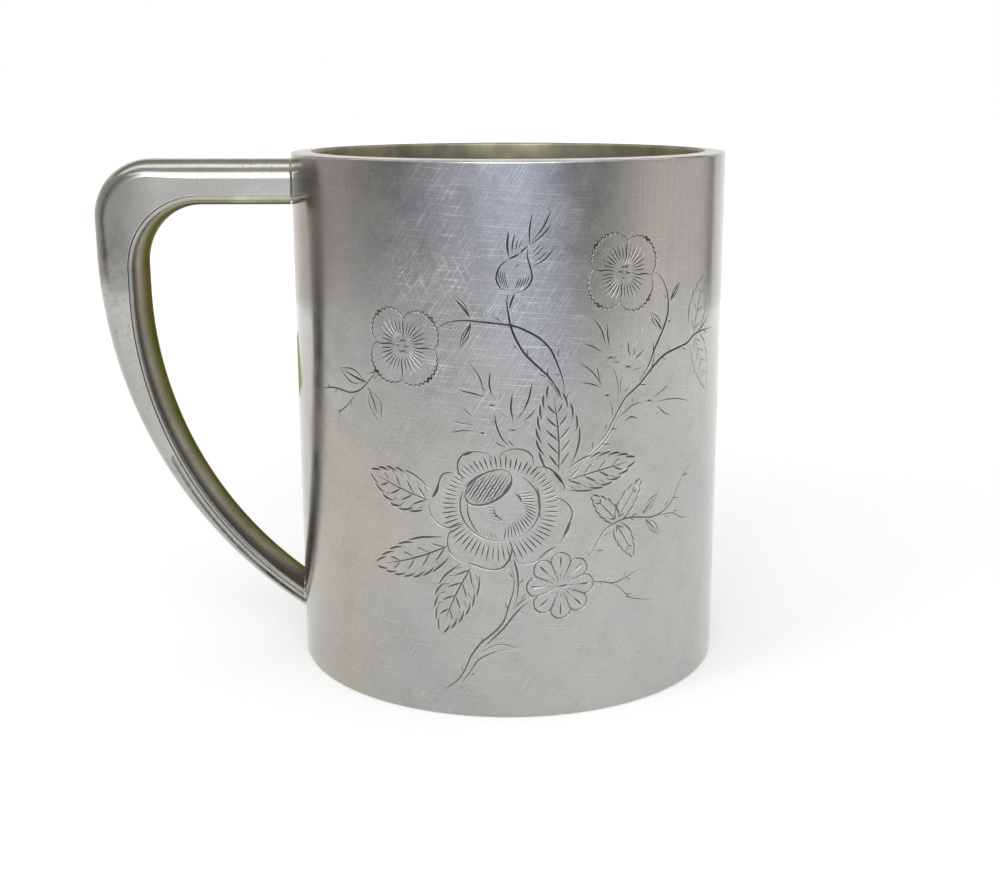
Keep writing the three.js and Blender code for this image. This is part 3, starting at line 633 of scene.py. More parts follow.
def engraved_plate():
    """Silver plate on white metal, a century old: rubbed satin by polishing cloths, lilac-grey at the
    front under the rim as a painted reflection of the window's bluish light, with painted shade over
    its middle, and buff at the lower left. It is crossed by bright and dark hairlines that are painted
    strongest where the highlight falls, with a scuff under the rim to the left, upright streaks on
    the right, lips along the cuts lightened as a painted highlight, and black sulphide in the cuts,
    thinner towards the foot."""
    material, tree = new_material("aged silver plate, engraved")
    place = node(tree, "UVMap", uv_map="sheet")
    height = node(tree, "SeparateXYZ", place, out="Y")
    way_round = node(tree, "SeparateXYZ", place, out="X")
    upper = node(tree, "range", height, 34 * mm, 66 * mm)
    clouds = node(tree, "noise", place, 1 / (20 * mm), 3, 0.55)
    patches = node(tree, "noise", place, 1 / (7 * mm), 5, 0.6)
    speckle = node(tree, "noise", place, 1 / (0.32 * mm), 2, 0.6)
    specks = node(tree, "range", node(tree, "noise", place, 1 / (1.6 * mm), 3, 0.6), 0.63, 0.74)
    colour = node(
        tree, "blend", node(tree, "range", clouds, 0.35, 0.65), linear("#B3B1AA"), linear("#ADACAD"),
    )
    colour = node(
        tree, "blend", node(tree, "range", patches, 0.4, 0.72, 0, 0.4), colour, linear("#9D9B95"),
    )
    way_round = node(tree, "sum", way_round, node(tree, "range", height, 52 * mm, 26 * mm, 0, 9 * mm))
    right = node(tree, "range", way_round, 8 * mm, 26 * mm)
    colour = node(tree, "blend", node(tree, "product", right, 0.35), colour, linear("#C9C8C3"))
    # Painted reflection: the front under the rim is tinted lilac-grey to stand for the window's bluish
    # light.
    lilac = node(
        tree, "product",
        node(tree, "range", way_round, -26 * mm, -10 * mm),
        node(tree, "range", way_round, 20 * mm, 5 * mm),
        upper,
    )
    colour = node(tree, "blend", node(tree, "product", lilac, 0.7), colour, linear("#A0A2AC"))
    # Painted shade: the middle of the front under the rim is darkened.
    front_painted_shade = node(
        tree, "product",
        node(tree, "range", way_round, -22 * mm, -8 * mm),
        node(tree, "range", way_round, 12 * mm, 1 * mm),
        node(tree, "range", height, 38 * mm, 50 * mm),
        node(tree, "range", height, 82 * mm, 72 * mm, 0, 0.42),
    )
    colour = node(tree, "blend", front_painted_shade, colour, linear("#94938F"))
    buff = node(
        tree, "product",
        node(tree, "range", way_round, -4 * mm, -20 * mm),
        node(tree, "range", upper, 1, 0, 0, 0.5),
    )
    colour = node(tree, "blend", buff, colour, linear("#B2AD9F"))
    colour = node(tree, "blend", node(tree, "product", specks, 0.08), colour, linear("#75726A"))
    colour = node(
        tree, "blend", node(tree, "range", speckle, 0.3, 0.7, 0, 0.25), colour, linear("#85837D"),
    )
    upright = node(tree, "Mapping", place, named={"Scale": (1 / (0.5 * mm), 1 / (28 * mm), 1)})
    streaks = node(tree, "noise", upright, 1, 3)
    streaks = node(tree, "product", node(tree, "range", streaks, 0.4, 0.7), right, upper, 0.16)
    colour = node(tree, "blend", streaks, colour, linear("#D8D6CE"))
    fine = node(
        tree, "sum", hairlines(tree, place, 4, 0.17, 7, 0.58), hairlines(tree, place, -58, 0.15, 6, 0.57),
    )
    sunken = node(
        tree, "sum", hairlines(tree, place, 33, 0.17, 5, 0.58), hairlines(tree, place, 78, 0.15, 9, 0.59),
    )
    # The hairlines are real wear, and their colour is painted strongest in the lilac zone as painted
    # glints where the highlight shows them.
    worn = node(
        tree, "product",
        node(tree, "range", lilac, 0, 1, 0.14, 0.4),
        node(tree, "range", patches, 0.35, 0.62, 0.45, 1.1),
    )
    colour = node(tree, "blend", node(tree, "product", sunken, worn, 0.8), colour, linear("#5F5F66"))
    from_scuff = node(tree, "VectorMath", place, (-13.6 * mm, 71 * mm, 0), operation="SUBTRACT")
    scuff_scale = (1 / (11 * mm), 1 / (6 * mm), 0)
    from_scuff = node(tree, "VectorMath", from_scuff, scuff_scale, operation="MULTIPLY")
    from_scuff = node(tree, "VectorMath", from_scuff, operation="LENGTH")
    scuff = node(tree, "range", from_scuff, 1.1, 0.2)
    rubbed = node(
        tree, "sum",
        hairlines(tree, place, 66, 0.3, 7, 0.6),
        hairlines(tree, place, -48, 0.28, 4, 0.6),
        node(tree, "range", node(tree, "noise", place, 1 / (0.45 * mm), 4, 0.7), 0.5, 0.7, 0, 0.6),
    )
    scuff = node(tree, "product", scuff, rubbed)
    bright = node(tree, "sum", node(tree, "product", fine, worn), node(tree, "product", scuff, 0.32))
    colour = node(tree, "blend", bright, colour, linear("#E9E9E8"))
    groove = node(tree, "Attribute", out="Fac", attribute_name="groove")
    lip = node(tree, "Attribute", out="Fac", attribute_name="lip")
    soot = node(tree, "range", node(tree, "noise", place, 1 / (14 * mm), 2, 0.55), 0.36, 0.56, 0.82, 0.97)
    # Painted highlight: the lips along the cuts are lightened.
    colour = node(tree, "blend", node(tree, "range", lip, 0, 1, 0, 0.4), colour, linear("#EDECE9"))
    soot = node(tree, "product", soot, node(tree, "range", height, 20 * mm, 62 * mm, 0.66, 1))
    blackened = node(tree, "product", node(tree, "range", groove, 0.02, 0.42), soot)
    colour = node(tree, "blend", blackened, colour, linear("#45423D"))
    glancing = node(tree, "LayerWeight", 0.5, out="Facing")
    satin = node(
        tree, "sum",
        node(tree, "range", upper, 0, 1, 0.34, 0.28),
        node(tree, "range", glancing, 0.3, 0.85, 0, -0.2),
        node(tree, "range", patches, 0.3, 0.7, -0.04, 0.05),
        node(tree, "product", scuff, 0.12),
        node(tree, "product", blackened, 0.15),
    )
    relief = node(
        tree, "sum",
        node(tree, "product", node(tree, "noise", place, 1 / (9 * mm), 1, 0.55), 6.0),
        node(tree, "product", speckle, 0.5),
        node(tree, "product", fine, 0.12),
        node(tree, "product", streaks, 1.5),
    )
    return metal_skin(material, tree, colour, satin, relief, 0.004)


sheet_spots, sheet_faces = triangulated_sheet()
press = press_of(sheet_spots)
skin = bent(sheet_spots, body_radius + press)
wall_section = np.concatenate([
    arc(body_radius - foot_rounding, foot_rounding, foot_rounding, 0, -90),
    [(bore_radius, 0), (bore_radius, wall_top / 2), (bore_radius, wall_top), (body_radius, wall_top)],
])
section_spots = np.stack([
    np.tile(round_steps, len(wall_section)), np.repeat(wall_section[:, 1], columns + 1),
], -1)
section_skin = bent(section_spots, np.repeat(wall_section[:, 0], columns + 1))
inner_faces = grid_faces(len(wall_section), columns + 1)[:, ::-1] + len(skin)
body = shown_piece(
    "engraved_body_wall",
    np.concatenate([skin, section_skin]),
    [*sheet_faces, *inner_faces],
    engraved_plate(),
)
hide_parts("body_wall")
for name, values in (
    ("groove", np.maximum(-press, 0) / (groove_slope * blackest_half)),
    ("lip", np.maximum(press, 0) / lip_height),
):
    attribute = body.data.attributes.new(name, "FLOAT", "POINT")
    attribute.data.foreach_set("value", np.concatenate([values, np.zeros(len(section_skin))]).clip(0, 1))
corner_vertices = np.empty(len(body.data.loops), int)
body.data.loops.foreach_get("vertex_index", corner_vertices)
sheet_map = body.data.uv_layers.new(name="sheet")
flat = np.concatenate([sheet_spots, section_spots]) * mm
sheet_map.data.foreach_set("uv", flat[corner_vertices].astype(np.float32).ravel())
welded(body.data, 0.0004, fill=True)


def array_of(items, field, shape, kind=np.float32):
    """One field of all of a mesh's items as a numpy array."""
    values = np.empty(len(items) * int(np.prod(shape)), kind)
    items.foreach_get(field, values)
    return values.reshape(len(items), *shape)


# Plain metal is shaded as the true round, and the sides of the cuts and their lips are left crisp
mesh = body.data
corner_vertex = array_of(mesh.loops, "vertex_index", (), np.int32)
corner_counts = array_of(mesh.polygons, "loop_total", (), np.int32)
corner_face = np.repeat(np.arange(len(mesh.polygons)), corner_counts)
places = array_of(mesh.vertices, "co", (3,))[corner_vertex] / mm
normals = array_of(mesh.corner_normals, "vector", (3,))
flat_normals = array_of(mesh.polygons, "normal", (3,))[corner_face]
around = np.hypot(places[:, 0], places[:, 1])
outside = (around > body_radius - 0.4) & (places[:, 2] > foot_rounding - 0.01)
outside &= (flat_normals[:, 2] < 0.9) & (flat_normals[:, 2] > -0.98)
radial = places * (1, 1, 0) / around[:, None]
sunk = outside & (around < body_radius - 2e-4)
raised = outside & (around > body_radius + 2e-4)
in_cut = np.zeros(len(mesh.polygons), bool)
in_cut[corner_face[sunk]] = True
kept = outside & (in_cut[corner_face] | raised)
normals[outside & ~kept] = radial[outside & ~kept]
normals[kept] = flat_normals[kept]
mesh.normals_split_custom_set(normals.tolist())


# The wall's butt seam stands behind the handle. It is filled with silver solder, filed and burnished
# nearly flush, so that it shows as a faint pale line with a little sinkage.
def solder_metal(name, pale, dark, roughness):
    """Silver solder under thin plate: a little greyer and duller than the sheet, pitted where the
    flux boiled, with dark tarnish in the pits."""
    material, tree = new_material(name)
    place = node(tree, "TexCoord", out="Object")
    clouds = node(tree, "noise", place, 1 / (2.5 * mm), 3, 0.55)
    pits = node(tree, "range", node(tree, "noise", place, 1 / (0.5 * mm), 2, 0.55), 0.6, 0.72)
    colour = node(tree, "blend", node(tree, "range", clouds, 0.35, 0.65), linear(pale), linear(dark))
    colour = node(tree, "blend", node(tree, "product", pits, 0.5), colour, linear("#6A675F"))
    relief = node(
        tree, "sum",
        node(tree, "noise", place, 1 / (0.8 * mm), 2, 0.55),
        node(tree, "product", pits, -0.4),
    )
    return metal_skin(material, tree, colour, roughness, relief, 0.03)


seam_solder = solder_metal("silver solder, filed flush", "#C2C0BA", "#A3A19A", 0.34)
across = np.linspace(-1, 1, 9)
seam_heights = np.linspace(foot_rounding, wall_top, 60)
seam_sinkage, seam_crown = 0.02, 0.03
seam_face = body_radius - seam_sinkage + seam_crown * (1 - across**2)
seam_ring = np.concatenate([
    np.stack([-seam_face, -across * (seam_half - 0.01)], -1),
    [(-bore_radius, -seam_half + 0.01), (-bore_radius, seam_half - 0.01)],
])
seam_points = np.concatenate([
    np.tile(seam_ring, (len(seam_heights), 1)), np.repeat(seam_heights, len(seam_ring))[:, None],
], -1)
seam_faces = list(grid_faces(len(seam_heights), len(seam_ring), close_places=True)[:, ::-1])
seam_faces.append(np.arange(len(seam_ring)))
seam_faces.append(np.arange(len(seam_ring))[::-1] + len(seam_points) - len(seam_ring))
seam = shown_piece("butt_seam_solder", seam_points, seam_faces, seam_solder)
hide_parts("body_seam_solder")


# The rim is a flat moulding with rounded edges, soldered along the wall's top edge. Its lip is
# rubbed bright, and the gold wash of the inside runs up to the lip and is worn thin there.
rim_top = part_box("rim_wire")[1].z / mm
rim_width = 3.8
rim_inner = body_radius - rim_width
rim_fall = 0.12
shoulder_radius = 0.4
lip_radius = 0.5
lower_edge = 0.006


def turned(name, section, material, slot, turns=512):
    """A section of radius and height, turned about the mug's axis. A section that starts and ends on
    the axis closes there, and any other closes on itself."""
    section = np.asarray(section, float)
    on_axis = section[0, 0] == 0
    turn = np.linspace(0, 2 * np.pi, turns, endpoint=False)[:, None]
    grid = np.stack([
        section[:, 0] * np.cos(turn), section[:, 0] * np.sin(turn), section[:, 1] + 0 * turn,
    ], -1)
    faces = grid_faces(turns, len(section), close_rows=True, close_places=not on_axis)
    piece = shown_piece(name, grid.reshape(-1, 3), faces[:, ::-1], material)
    if on_axis:
        welded(piece.data, 0.0005)
    return piece


def rim_plate():
    """Silver plate rubbed by lips and cloths: brighter than the body on the lip, with small nicks,
    turning to worn gold wash towards the inside and to the wall's own satin grey over the shoulder."""
    material, tree = new_material("rubbed silver plate with worn gold wash")
    place = node(tree, "TexCoord", out="Object")
    flat_place = node(tree, "VectorMath", place, (1, 1, 0), operation="MULTIPLY")
    radius = node(tree, "VectorMath", flat_place, operation="LENGTH")
    clouds = node(tree, "noise", place, 1 / (6 * mm), 3, 0.55)
    nicks = node(tree, "range", node(tree, "noise", place, 1 / (0.7 * mm), 3, 0.7), 0.62, 0.72)
    edge = node(tree, "sum", radius, node(tree, "product", clouds, 0.25 * mm))
    gilt = node(tree, "range", edge, (rim_inner + 0.75) * mm, (rim_inner + 0.4) * mm)
    silver = node(
        tree, "blend", node(tree, "range", clouds, 0.35, 0.65), linear("#D6D5D0"), linear("#BDBBB5"),
    )
    silver = node(tree, "blend", node(tree, "product", nicks, 0.4), silver, linear("#86837B"))
    gold = node(
        tree, "blend", node(tree, "range", clouds, 0.3, 0.7), linear("#B8B199"), linear("#99937D"),
    )
    height = node(tree, "SeparateXYZ", place, out="Z")
    outer = node(tree, "range", height, (rim_top - 0.35) * mm, (rim_top - 0.6) * mm)
    past_lip = node(tree, "range", radius, (body_radius - 0.5) * mm, (body_radius - 0.2) * mm)
    outer = node(tree, "product", outer, past_lip)
    satin = node(
        tree, "blend", node(tree, "range", clouds, 0.35, 0.65), linear("#AEACA6"), linear("#A3A19C"),
    )
    colour = node(tree, "blend", outer, node(tree, "blend", gilt, silver, gold), satin)
    gloss = node(
        tree, "sum",
        node(tree, "range", gilt, 0, 1, 0.2, 0.45),
        node(tree, "range", outer, 0, 1, 0, 0.08),
    )
    relief = node(
        tree, "sum",
        node(tree, "product", nicks, -0.6),
        node(tree, "noise", place, 1 / (4 * mm), 3, 0.55),
    )
    return metal_skin(material, tree, colour, gloss, relief, 0.02)


rim_shoulder = arc(
    body_radius - shoulder_radius, rim_top - rim_fall - shoulder_radius, shoulder_radius, 0, 84,
)
rim_lip = arc(rim_inner + lip_radius, rim_top - lip_radius, lip_radius, 84, 180, 10)
rim_section = np.concatenate([
    [(body_radius - lower_edge, wall_top)],
    [(body_radius, h) for h in (wall_top + lower_edge, wall_top + 2 * lower_edge, rim_top - 0.7)],
    rim_shoulder,
    np.linspace(rim_shoulder[-1], rim_lip[0], 8)[1:-1],
    rim_lip,
    arc(rim_inner + lip_radius, wall_top + lip_radius + 0.05, lip_radius, 180, 270),
    [(bore_radius, wall_top)],
])
rim = turned("rim_moulding", rim_section, rim_plate(), "silver_plate")
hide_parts("rim_wire")
# Its outer face was rubbed together with the wall, so the wall's plate and its flat map run on over it
rim.data.materials.append(body.data.materials[0])
rim_corners = array_of(rim.data.loops, "vertex_index", (), np.int32).reshape(-1, 4)
rim_places = array_of(rim.data.vertices, "co", (3,))[rim_corners] / mm
# The angle starts where the wall's sheet does, and the faces across that line take one bearing
rim_turns = np.arctan2(rim_places[..., 0], -rim_places[..., 1])
rim_turns = np.where(rim_turns < -np.pi / 2 - 1e-4, rim_turns + 2 * np.pi, rim_turns)
rim_turns[rim_turns.max(1) - rim_turns.min(1) > 3] = 1.5 * np.pi
rim_map = rim.data.uv_layers.new(name="sheet")
rim_flat = np.stack([rim_turns * body_radius, rim_places[..., 2]], -1) * mm
rim_map.data.foreach_set("uv", rim_flat.astype(np.float32).ravel())
on_face = (np.hypot(rim_places[..., 0], rim_places[..., 1]) > body_radius - 0.01).all(1)
rim.data.polygons.foreach_set("material_index", on_face.astype(np.int32))


# The inside is washed with gold, a few thousandths of a millimetre thick, over the wall, the floor
# and the solder in both inner corners. A century of cleaning has left it pale, patchy and olive.
def worn_gilt():
    """Fire-gilt wash, pale and greenish where silver shows through, with painted shade darkening the
    lower corner.
    """
    material, tree = new_material("worn pale gold wash")
    place = node(tree, "TexCoord", out="Object")
    height = node(tree, "SeparateXYZ", place, out="Z")
    clouds = node(tree, "noise", place, 1 / (14 * mm), 5, 0.6)
    spots = node(tree, "range", node(tree, "noise", place, 1 / (2 * mm), 3, 0.55), 0.6, 0.7)
    colour = node(
        tree, "blend", node(tree, "range", clouds, 0.35, 0.65), linear("#CDC7AC"), linear("#B4AD92"),
    )
    colour = node(tree, "blend", node(tree, "product", spots, 0.35), colour, linear("#6E6749"))
    # Painted shade: darker towards the inside's lower corner.
    colour = node(
        tree, "blend", node(tree, "range", height, 8 * mm, 1 * mm, 0, 0.5), colour, linear("#5E573C"),
    )
    rings = node(tree, "Mapping", place, named={"Scale": (1, 1, 60)})
    relief = node(
        tree, "sum",
        node(tree, "noise", rings, 1 / (12 * mm), 2, 0.55),
        node(tree, "product", clouds, 2.0),
    )
    roughness = node(tree, "range", clouds, 0.3, 0.7, 0.44, 0.56)
    return metal_skin(material, tree, colour, roughness, relief, 0.02)


base_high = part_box("base_plate")[1]
base_top = base_high.z / mm
wash_radius = bore_radius - 0.1
wash_floor = base_top + 0.1
wash_ceiling = wall_top - 0.08
corner = 1.3
wash_film = 0.03
wash_section = np.concatenate([
    [(r, wash_floor) for r in np.linspace(0, wash_radius - corner, 12)[:-1]],
    arc(wash_radius - corner, wash_floor + corner, corner, -90, 0),
    [(wash_radius, h) for h in np.linspace(wash_floor, wash_ceiling, 14)[2:-2]],
    arc(wash_radius - corner, wash_ceiling - corner, corner, 0, 90),
])
wash_back = np.concatenate([
    [(wash_radius - corner, wash_ceiling + wash_film)],
    arc(wash_radius - corner, wash_ceiling - corner, corner + wash_film, 80, 0),
    arc(wash_radius - corner, wash_floor + corner, corner + wash_film, 0, -90),
    [(0, wash_floor - wash_film)],
])
turned(
    "gold_wash_lining", np.concatenate([wash_section, wash_back])[::-1], worn_gilt(), "gilt_wash", 256,
)


# The base is a plain disc let into the wall's lower end. Its underside was turned flat on the lathe
# and has stood on tables ever since, so it has fine rings and a rubbed, scratched face.
def turned_base():
    """Silver plate worn thin on a flat face: concentric turning marks 0.4 mm apart and grey rubbing."""
    material, tree = new_material("worn silver plate, turned")
    place = node(tree, "TexCoord", out="Object")
    rings = node(
        tree, "TexWave", place, 2 * math.pi / 20 / (0.4 * mm), 0.6, 2, 1.5, out="Fac",
        wave_type="RINGS", rings_direction="Z",
    )
    clouds = node(tree, "noise", place, 1 / (11 * mm), 4, 0.55)
    scratches = node(tree, "sum", hairlines(tree, place, 20, 0.2, 9), hairlines(tree, place, -50, 0.2, 7))
    colour = node(
        tree, "blend", node(tree, "range", clouds, 0.35, 0.65), linear("#BAB8B2"), linear("#98958C"),
    )
    colour = node(tree, "blend", node(tree, "product", scratches, 0.3), colour, linear("#DDDCD8"))
    relief = node(tree, "sum", rings, node(tree, "product", scratches, -0.8))
    return metal_skin(material, tree, colour, 0.36, relief, 0.01)


base_radius = base_high.x / mm
# Pairs of radius and height: a mark at the centre, the flat, a shallow ring and the rounded edge
base_section = np.concatenate([
    [(0, 0.02), (2, 0.02), (2.2, 0), (8, 0), (24, 0), (26, 0.04), (26.4, 0)],
    arc(base_radius - 0.2, 0.2, 0.2, -90, 0, 4),
    [(base_radius, base_top), (0, base_top)],
])
base = turned("turned_base", base_section, turned_base(), "silver_plate", 256)
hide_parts("base_plate")
for name in ("rim_solder_ring", "base_solder_ring"):
    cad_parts[name].data.materials.clear()
    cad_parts[name].data.materials.append(seam_solder)


# The handle is hollow, of two stampings soldered together: an outer channel with straight sides and
# a domed back, and a narrow strip with rounded edges that closes it on the grip side.
arm_drop, arm_thickness = 1.3, 7.4
handle_reach, limb_thickness = 34.45, 7.7
inner_elbow_radius, outer_elbow_radius = 11.2, 10
inner_straight, outer_straight = 4.1, 5.7
foot_height, foot_rise = 6.4, 4.9
arm_width, foot_narrowing = 12, 2.4
arm_dome, foot_flattening = 3.3, 1.6
arm_starts_inside, limb_ends_at = 3, 5.0
wall_overlap = 0.02
arm_top = rim_top - arm_drop
arm_floor = arm_top - arm_thickness
outer_reach = body_radius + handle_reach
inner_reach = outer_reach - limb_thickness
inner_elbow = np.array((inner_elbow_radius - inner_reach, arm_floor - inner_elbow_radius))
outer_elbow = np.array((outer_elbow_radius - outer_reach, arm_top - outer_elbow_radius))


def limb_centre(reach, start_height, end_height):
    """The centre of the arc that starts upright at the reach and meets the wall at the end height."""
    run = reach - body_radius
    radius = ((start_height - end_height) ** 2 + run**2) / (2 * run)
    return np.array((radius - reach, start_height)), radius


inner_limb, inner_limb_radius = limb_centre(
    inner_reach, inner_elbow[1] - inner_straight, foot_height + foot_rise,
)
outer_limb, outer_limb_radius = limb_centre(outer_reach, outer_elbow[1] - outer_straight, foot_height)


def inside_outline(x, z):
    """Whether a place in the side view is inside the handle's outer line: under the arm's top, within
    the elbow's circle, to the right of the short straight, or below that within the limb's circle."""
    in_elbow = np.hypot(x - outer_elbow[0], z - outer_elbow[1]) < outer_elbow_radius
    in_limb = np.hypot(x - outer_limb[0], z - outer_limb[1]) < outer_limb_radius
    at_side = np.where(z > outer_elbow[1], in_elbow, x > -outer_reach)
    above = np.where(x > outer_elbow[0], z < arm_top, at_side)
    return np.where(z > outer_limb[1], above, in_limb).astype(bool)


def handle_stations():
    """Stations along the grip side, from inside the wall at the top to inside it at the foot: each has
    a place x, z, the aim across to the outer line, the distance to it, the width and the dome."""
    limb_turn = math.asin((inner_limb[1] - limb_ends_at) / inner_limb_radius)
    arm = np.linspace(-body_radius + arm_starts_inside, inner_elbow[0], 44)[:-1]
    elbow = np.linspace(0, np.pi / 2, 40)
    straight = np.linspace(inner_elbow[1], inner_limb[1], 8)[1:-1]
    limb = np.linspace(0, limb_turn, 96)
    x = np.concatenate([
        arm,
        inner_elbow[0] - inner_elbow_radius * np.sin(elbow),
        0 * straight - inner_reach,
        inner_limb[0] - inner_limb_radius * np.cos(limb),
    ])
    z = np.concatenate([
        0 * arm + arm_floor,
        inner_elbow[1] + inner_elbow_radius * np.cos(elbow),
        straight,
        inner_limb[1] - inner_limb_radius * np.sin(limb),
    ])
    aim_x = np.concatenate([0 * arm, -np.sin(elbow), 0 * straight - 1, -np.cos(limb)])
    aim_z = np.concatenate([0 * arm + 1, np.cos(elbow), 0 * straight, -np.sin(limb)])
    near, far = np.zeros(len(x)), np.full(len(x), 20.0)
    for halving in range(40):
        middle = (near + far) / 2
        inside = inside_outline(x + middle * aim_x, z + middle * aim_z)
        near, far = np.where(inside, middle, near), np.where(inside, far, middle)
    share = np.concatenate([np.zeros(len(x) - len(limb)), limb / limb_turn])
    width = arm_width - foot_narrowing * share
    dome = arm_dome - foot_flattening * share
    return x, z, aim_x, aim_z, near, width, dome


station = handle_stations()


def carried(section):
    """Carries a section along the stations. A row of the section gives a share of the half width, an
    offset in y, a height over the grip side, and its shares of the straight side and of the dome.
    Both ends are trimmed to the wall: the stations near them are drawn out until they meet it."""
    x, z, aim_x, aim_z, thick, width, dome = (values[:, None] for values in station)
    y_share, y_offset, lift, side_share, dome_share = np.asarray(section, float).T[:, None, :]
    y = y_share * width / 2 + y_offset
    height = lift + side_share * (thick - dome) + dome_share * dome
    grid = np.stack([x + height * aim_x, y, z + height * aim_z], -1)
    rows, places = grid.shape[:2]
    clear = np.hypot(grid[..., 0], grid[..., 1]) - (body_radius - wall_overlap)
    index = np.arange(rows)[:, None]
    first = np.argmax(clear > 0, axis=0)
    last = rows - 1 - np.argmax(clear[::-1] > 0, axis=0)
    lane = np.arange(places)
    start = first - clear[first, lane] / (clear[first, lane] - clear[first - 1, lane])
    end = last + clear[last, lane] / (clear[last, lane] - clear[last + 1, lane])
    begin, finish = int(first.max()) + 6, int(last.min()) - 6
    kept = index[:finish + 1 + rows - begin]
    place = np.where(index < begin, start + (begin - start) * index / begin, index)
    after = (index - finish) / (rows - 1 - finish)
    place = np.where(index > finish, finish + (end - finish) * after, place)
    low = np.clip(place.astype(int), 0, rows - 2)
    part = (place - low)[..., None]
    return grid[low, lane] * (1 - part) + grid[low + 1, lane] * part


def carried_piece(name, section, material):
    """The closed skin of a carried section, with both of its ends capped."""
    grid = carried(section)
    rows, places = grid.shape[:2]
    faces = list(grid_faces(rows, places, close_places=True))
    faces.append(np.arange(places)[::-1])
    faces.append(np.arange(places) + (rows - 1) * places)
    return shown_piece(name, grid.reshape(-1, 3), faces, material)


def edge_round(side, lift, radius, from_degrees, to_degrees, steps=5):
    """A rounded edge of the section, on its front (-1) or rear (1) side: an arc round a centre that
    stands in from the side by its radius."""
    turn = np.radians(np.linspace(from_degrees, to_degrees, steps + 1))
    nothing = np.zeros(steps + 1)
    return np.stack([nothing + side, side * radius * (np.cos(turn) - 1),
                     lift + radius * np.sin(turn), nothing, nothing], -1)


def handle_plate(name, pale, dark, elbow_shade_tone, gloss, film=(1, 1, 1, 1)):
    """Silver plate on the handle, rubbed smooth by hands: soft waves from the stamping and small pits,
    with painted shade darkening the limb below the arm and, more, the elbow's outside. The film is the
    metal's tint at a glance."""
    material, tree = new_material(name)
    place = node(tree, "TexCoord", out="Object")
    sideways = node(tree, "SeparateXYZ", place, out="X")
    height = node(tree, "SeparateXYZ", place, out="Z")
    clouds = node(tree, "noise", place, 1 / (9 * mm), 4, 0.55)
    fine = node(tree, "noise", place, 1 / (1.1 * mm), 4, 0.65)
    pits = node(tree, "range", node(tree, "noise", place, 1 / (0.75 * mm), 2, 0.4), 0.68, 0.76)
    colour = node(tree, "blend", node(tree, "range", clouds, 0.38, 0.62), linear(pale), linear(dark))
    # Painted shade: the elbow's outside is darkened.
    elbow = node(
        tree, "product",
        node(tree, "range", sideways, -58 * mm, -67 * mm),
        node(tree, "range", height, 36 * mm, 58 * mm),
        node(tree, "range", clouds, 0.3, 0.6, 1.0, 0.7),
    )
    # Painted shade: the limb is darkened from the arm downwards.
    limb = node(tree, "range", height, 76 * mm, 50 * mm, 0, 0.6)
    colour = node(tree, "blend", limb, colour, linear("#84827D"))
    colour = node(tree, "blend", elbow, colour, linear(elbow_shade_tone))
    colour = node(tree, "blend", node(tree, "range", fine, 0.5, 0.75, 0, 0.3), colour, linear("#8C8A84"))
    colour = node(tree, "blend", node(tree, "product", pits, 0.5), colour, linear("#5F5C56"))
    relief = node(
        tree, "sum",
        node(tree, "product", node(tree, "noise", place, 1 / (7 * mm), 1, 0.55), 5.0),
        node(tree, "product", node(tree, "noise", place, 1 / (2.2 * mm), 2, 0.55), 0.7),
        node(tree, "product", fine, 0.15),
        node(tree, "product", pits, -0.6),
    )
    roughness = node(tree, "range", fine, 0.3, 0.7, gloss - 0.03, gloss + 0.05)
    return metal_skin(material, tree, colour, roughness, relief, 0.01, film)


channel_edge, strip_edge, edge_radius = 1.48, 1.18, 0.12
dome_turn = np.radians(np.linspace(0, 180, 41))
nothing = 0 * dome_turn
shell_section = np.concatenate([
    edge_round(-1, channel_edge, edge_radius, -90, 0),
    [(-1, 0, 1.52, 0, 0), (-1, 0, 2.4, 0, 0)],
    np.stack([-np.cos(dome_turn), nothing, nothing, nothing + 1, np.sin(dome_turn)], -1),
    [(1, 0, 2.4, 0, 0), (1, 0, 1.52, 0, 0)],
    edge_round(1, channel_edge, edge_radius, 0, -90),
])
shell = carried_piece(
    "handle_channel", shell_section,
    handle_plate("rubbed silver plate", "#DEDCD6", "#D0CEC7", "#A2A19D", 0.14),
)
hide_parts("handle_outer_shell")
face_share = np.sin(np.radians(np.linspace(-90, 90, 37)))
strip_lift, strip_dome = 1.15, 1.6
face_lift = strip_lift - strip_dome * (1 - abs(face_share) ** 2.2).clip(0) ** 0.42
nothing = 0 * face_share
strip_section = np.concatenate([
    [(-1, 0.4, 1.3, 0, 0)],
    edge_round(-1, strip_edge, edge_radius, 90, 0),
    np.stack([face_share, nothing, face_lift, nothing, nothing], -1),
    edge_round(1, strip_edge, edge_radius, 0, 90),
    [(1, -0.4, 1.3, 0, 0)],
])
# The grip strip's plate is a darker copy of the channel's, as painted shade, and its olive film is a
# painted reflection.
strip = carried_piece(
    "handle_grip_strip", strip_section,
    handle_plate(
        "silver plate, painted shade and olive reflection", "#BFBDB5", "#A9A79E", "#8F8D83", 0.2, (0.18, 0.175, 0.05, 1),
    ),
)
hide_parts("handle_inner_strip")
for name in ("handle_front_seam_solder", "handle_rear_seam_solder"):
    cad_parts[name].data.materials.clear()
    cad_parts[name].data.materials.append(seam_solder)
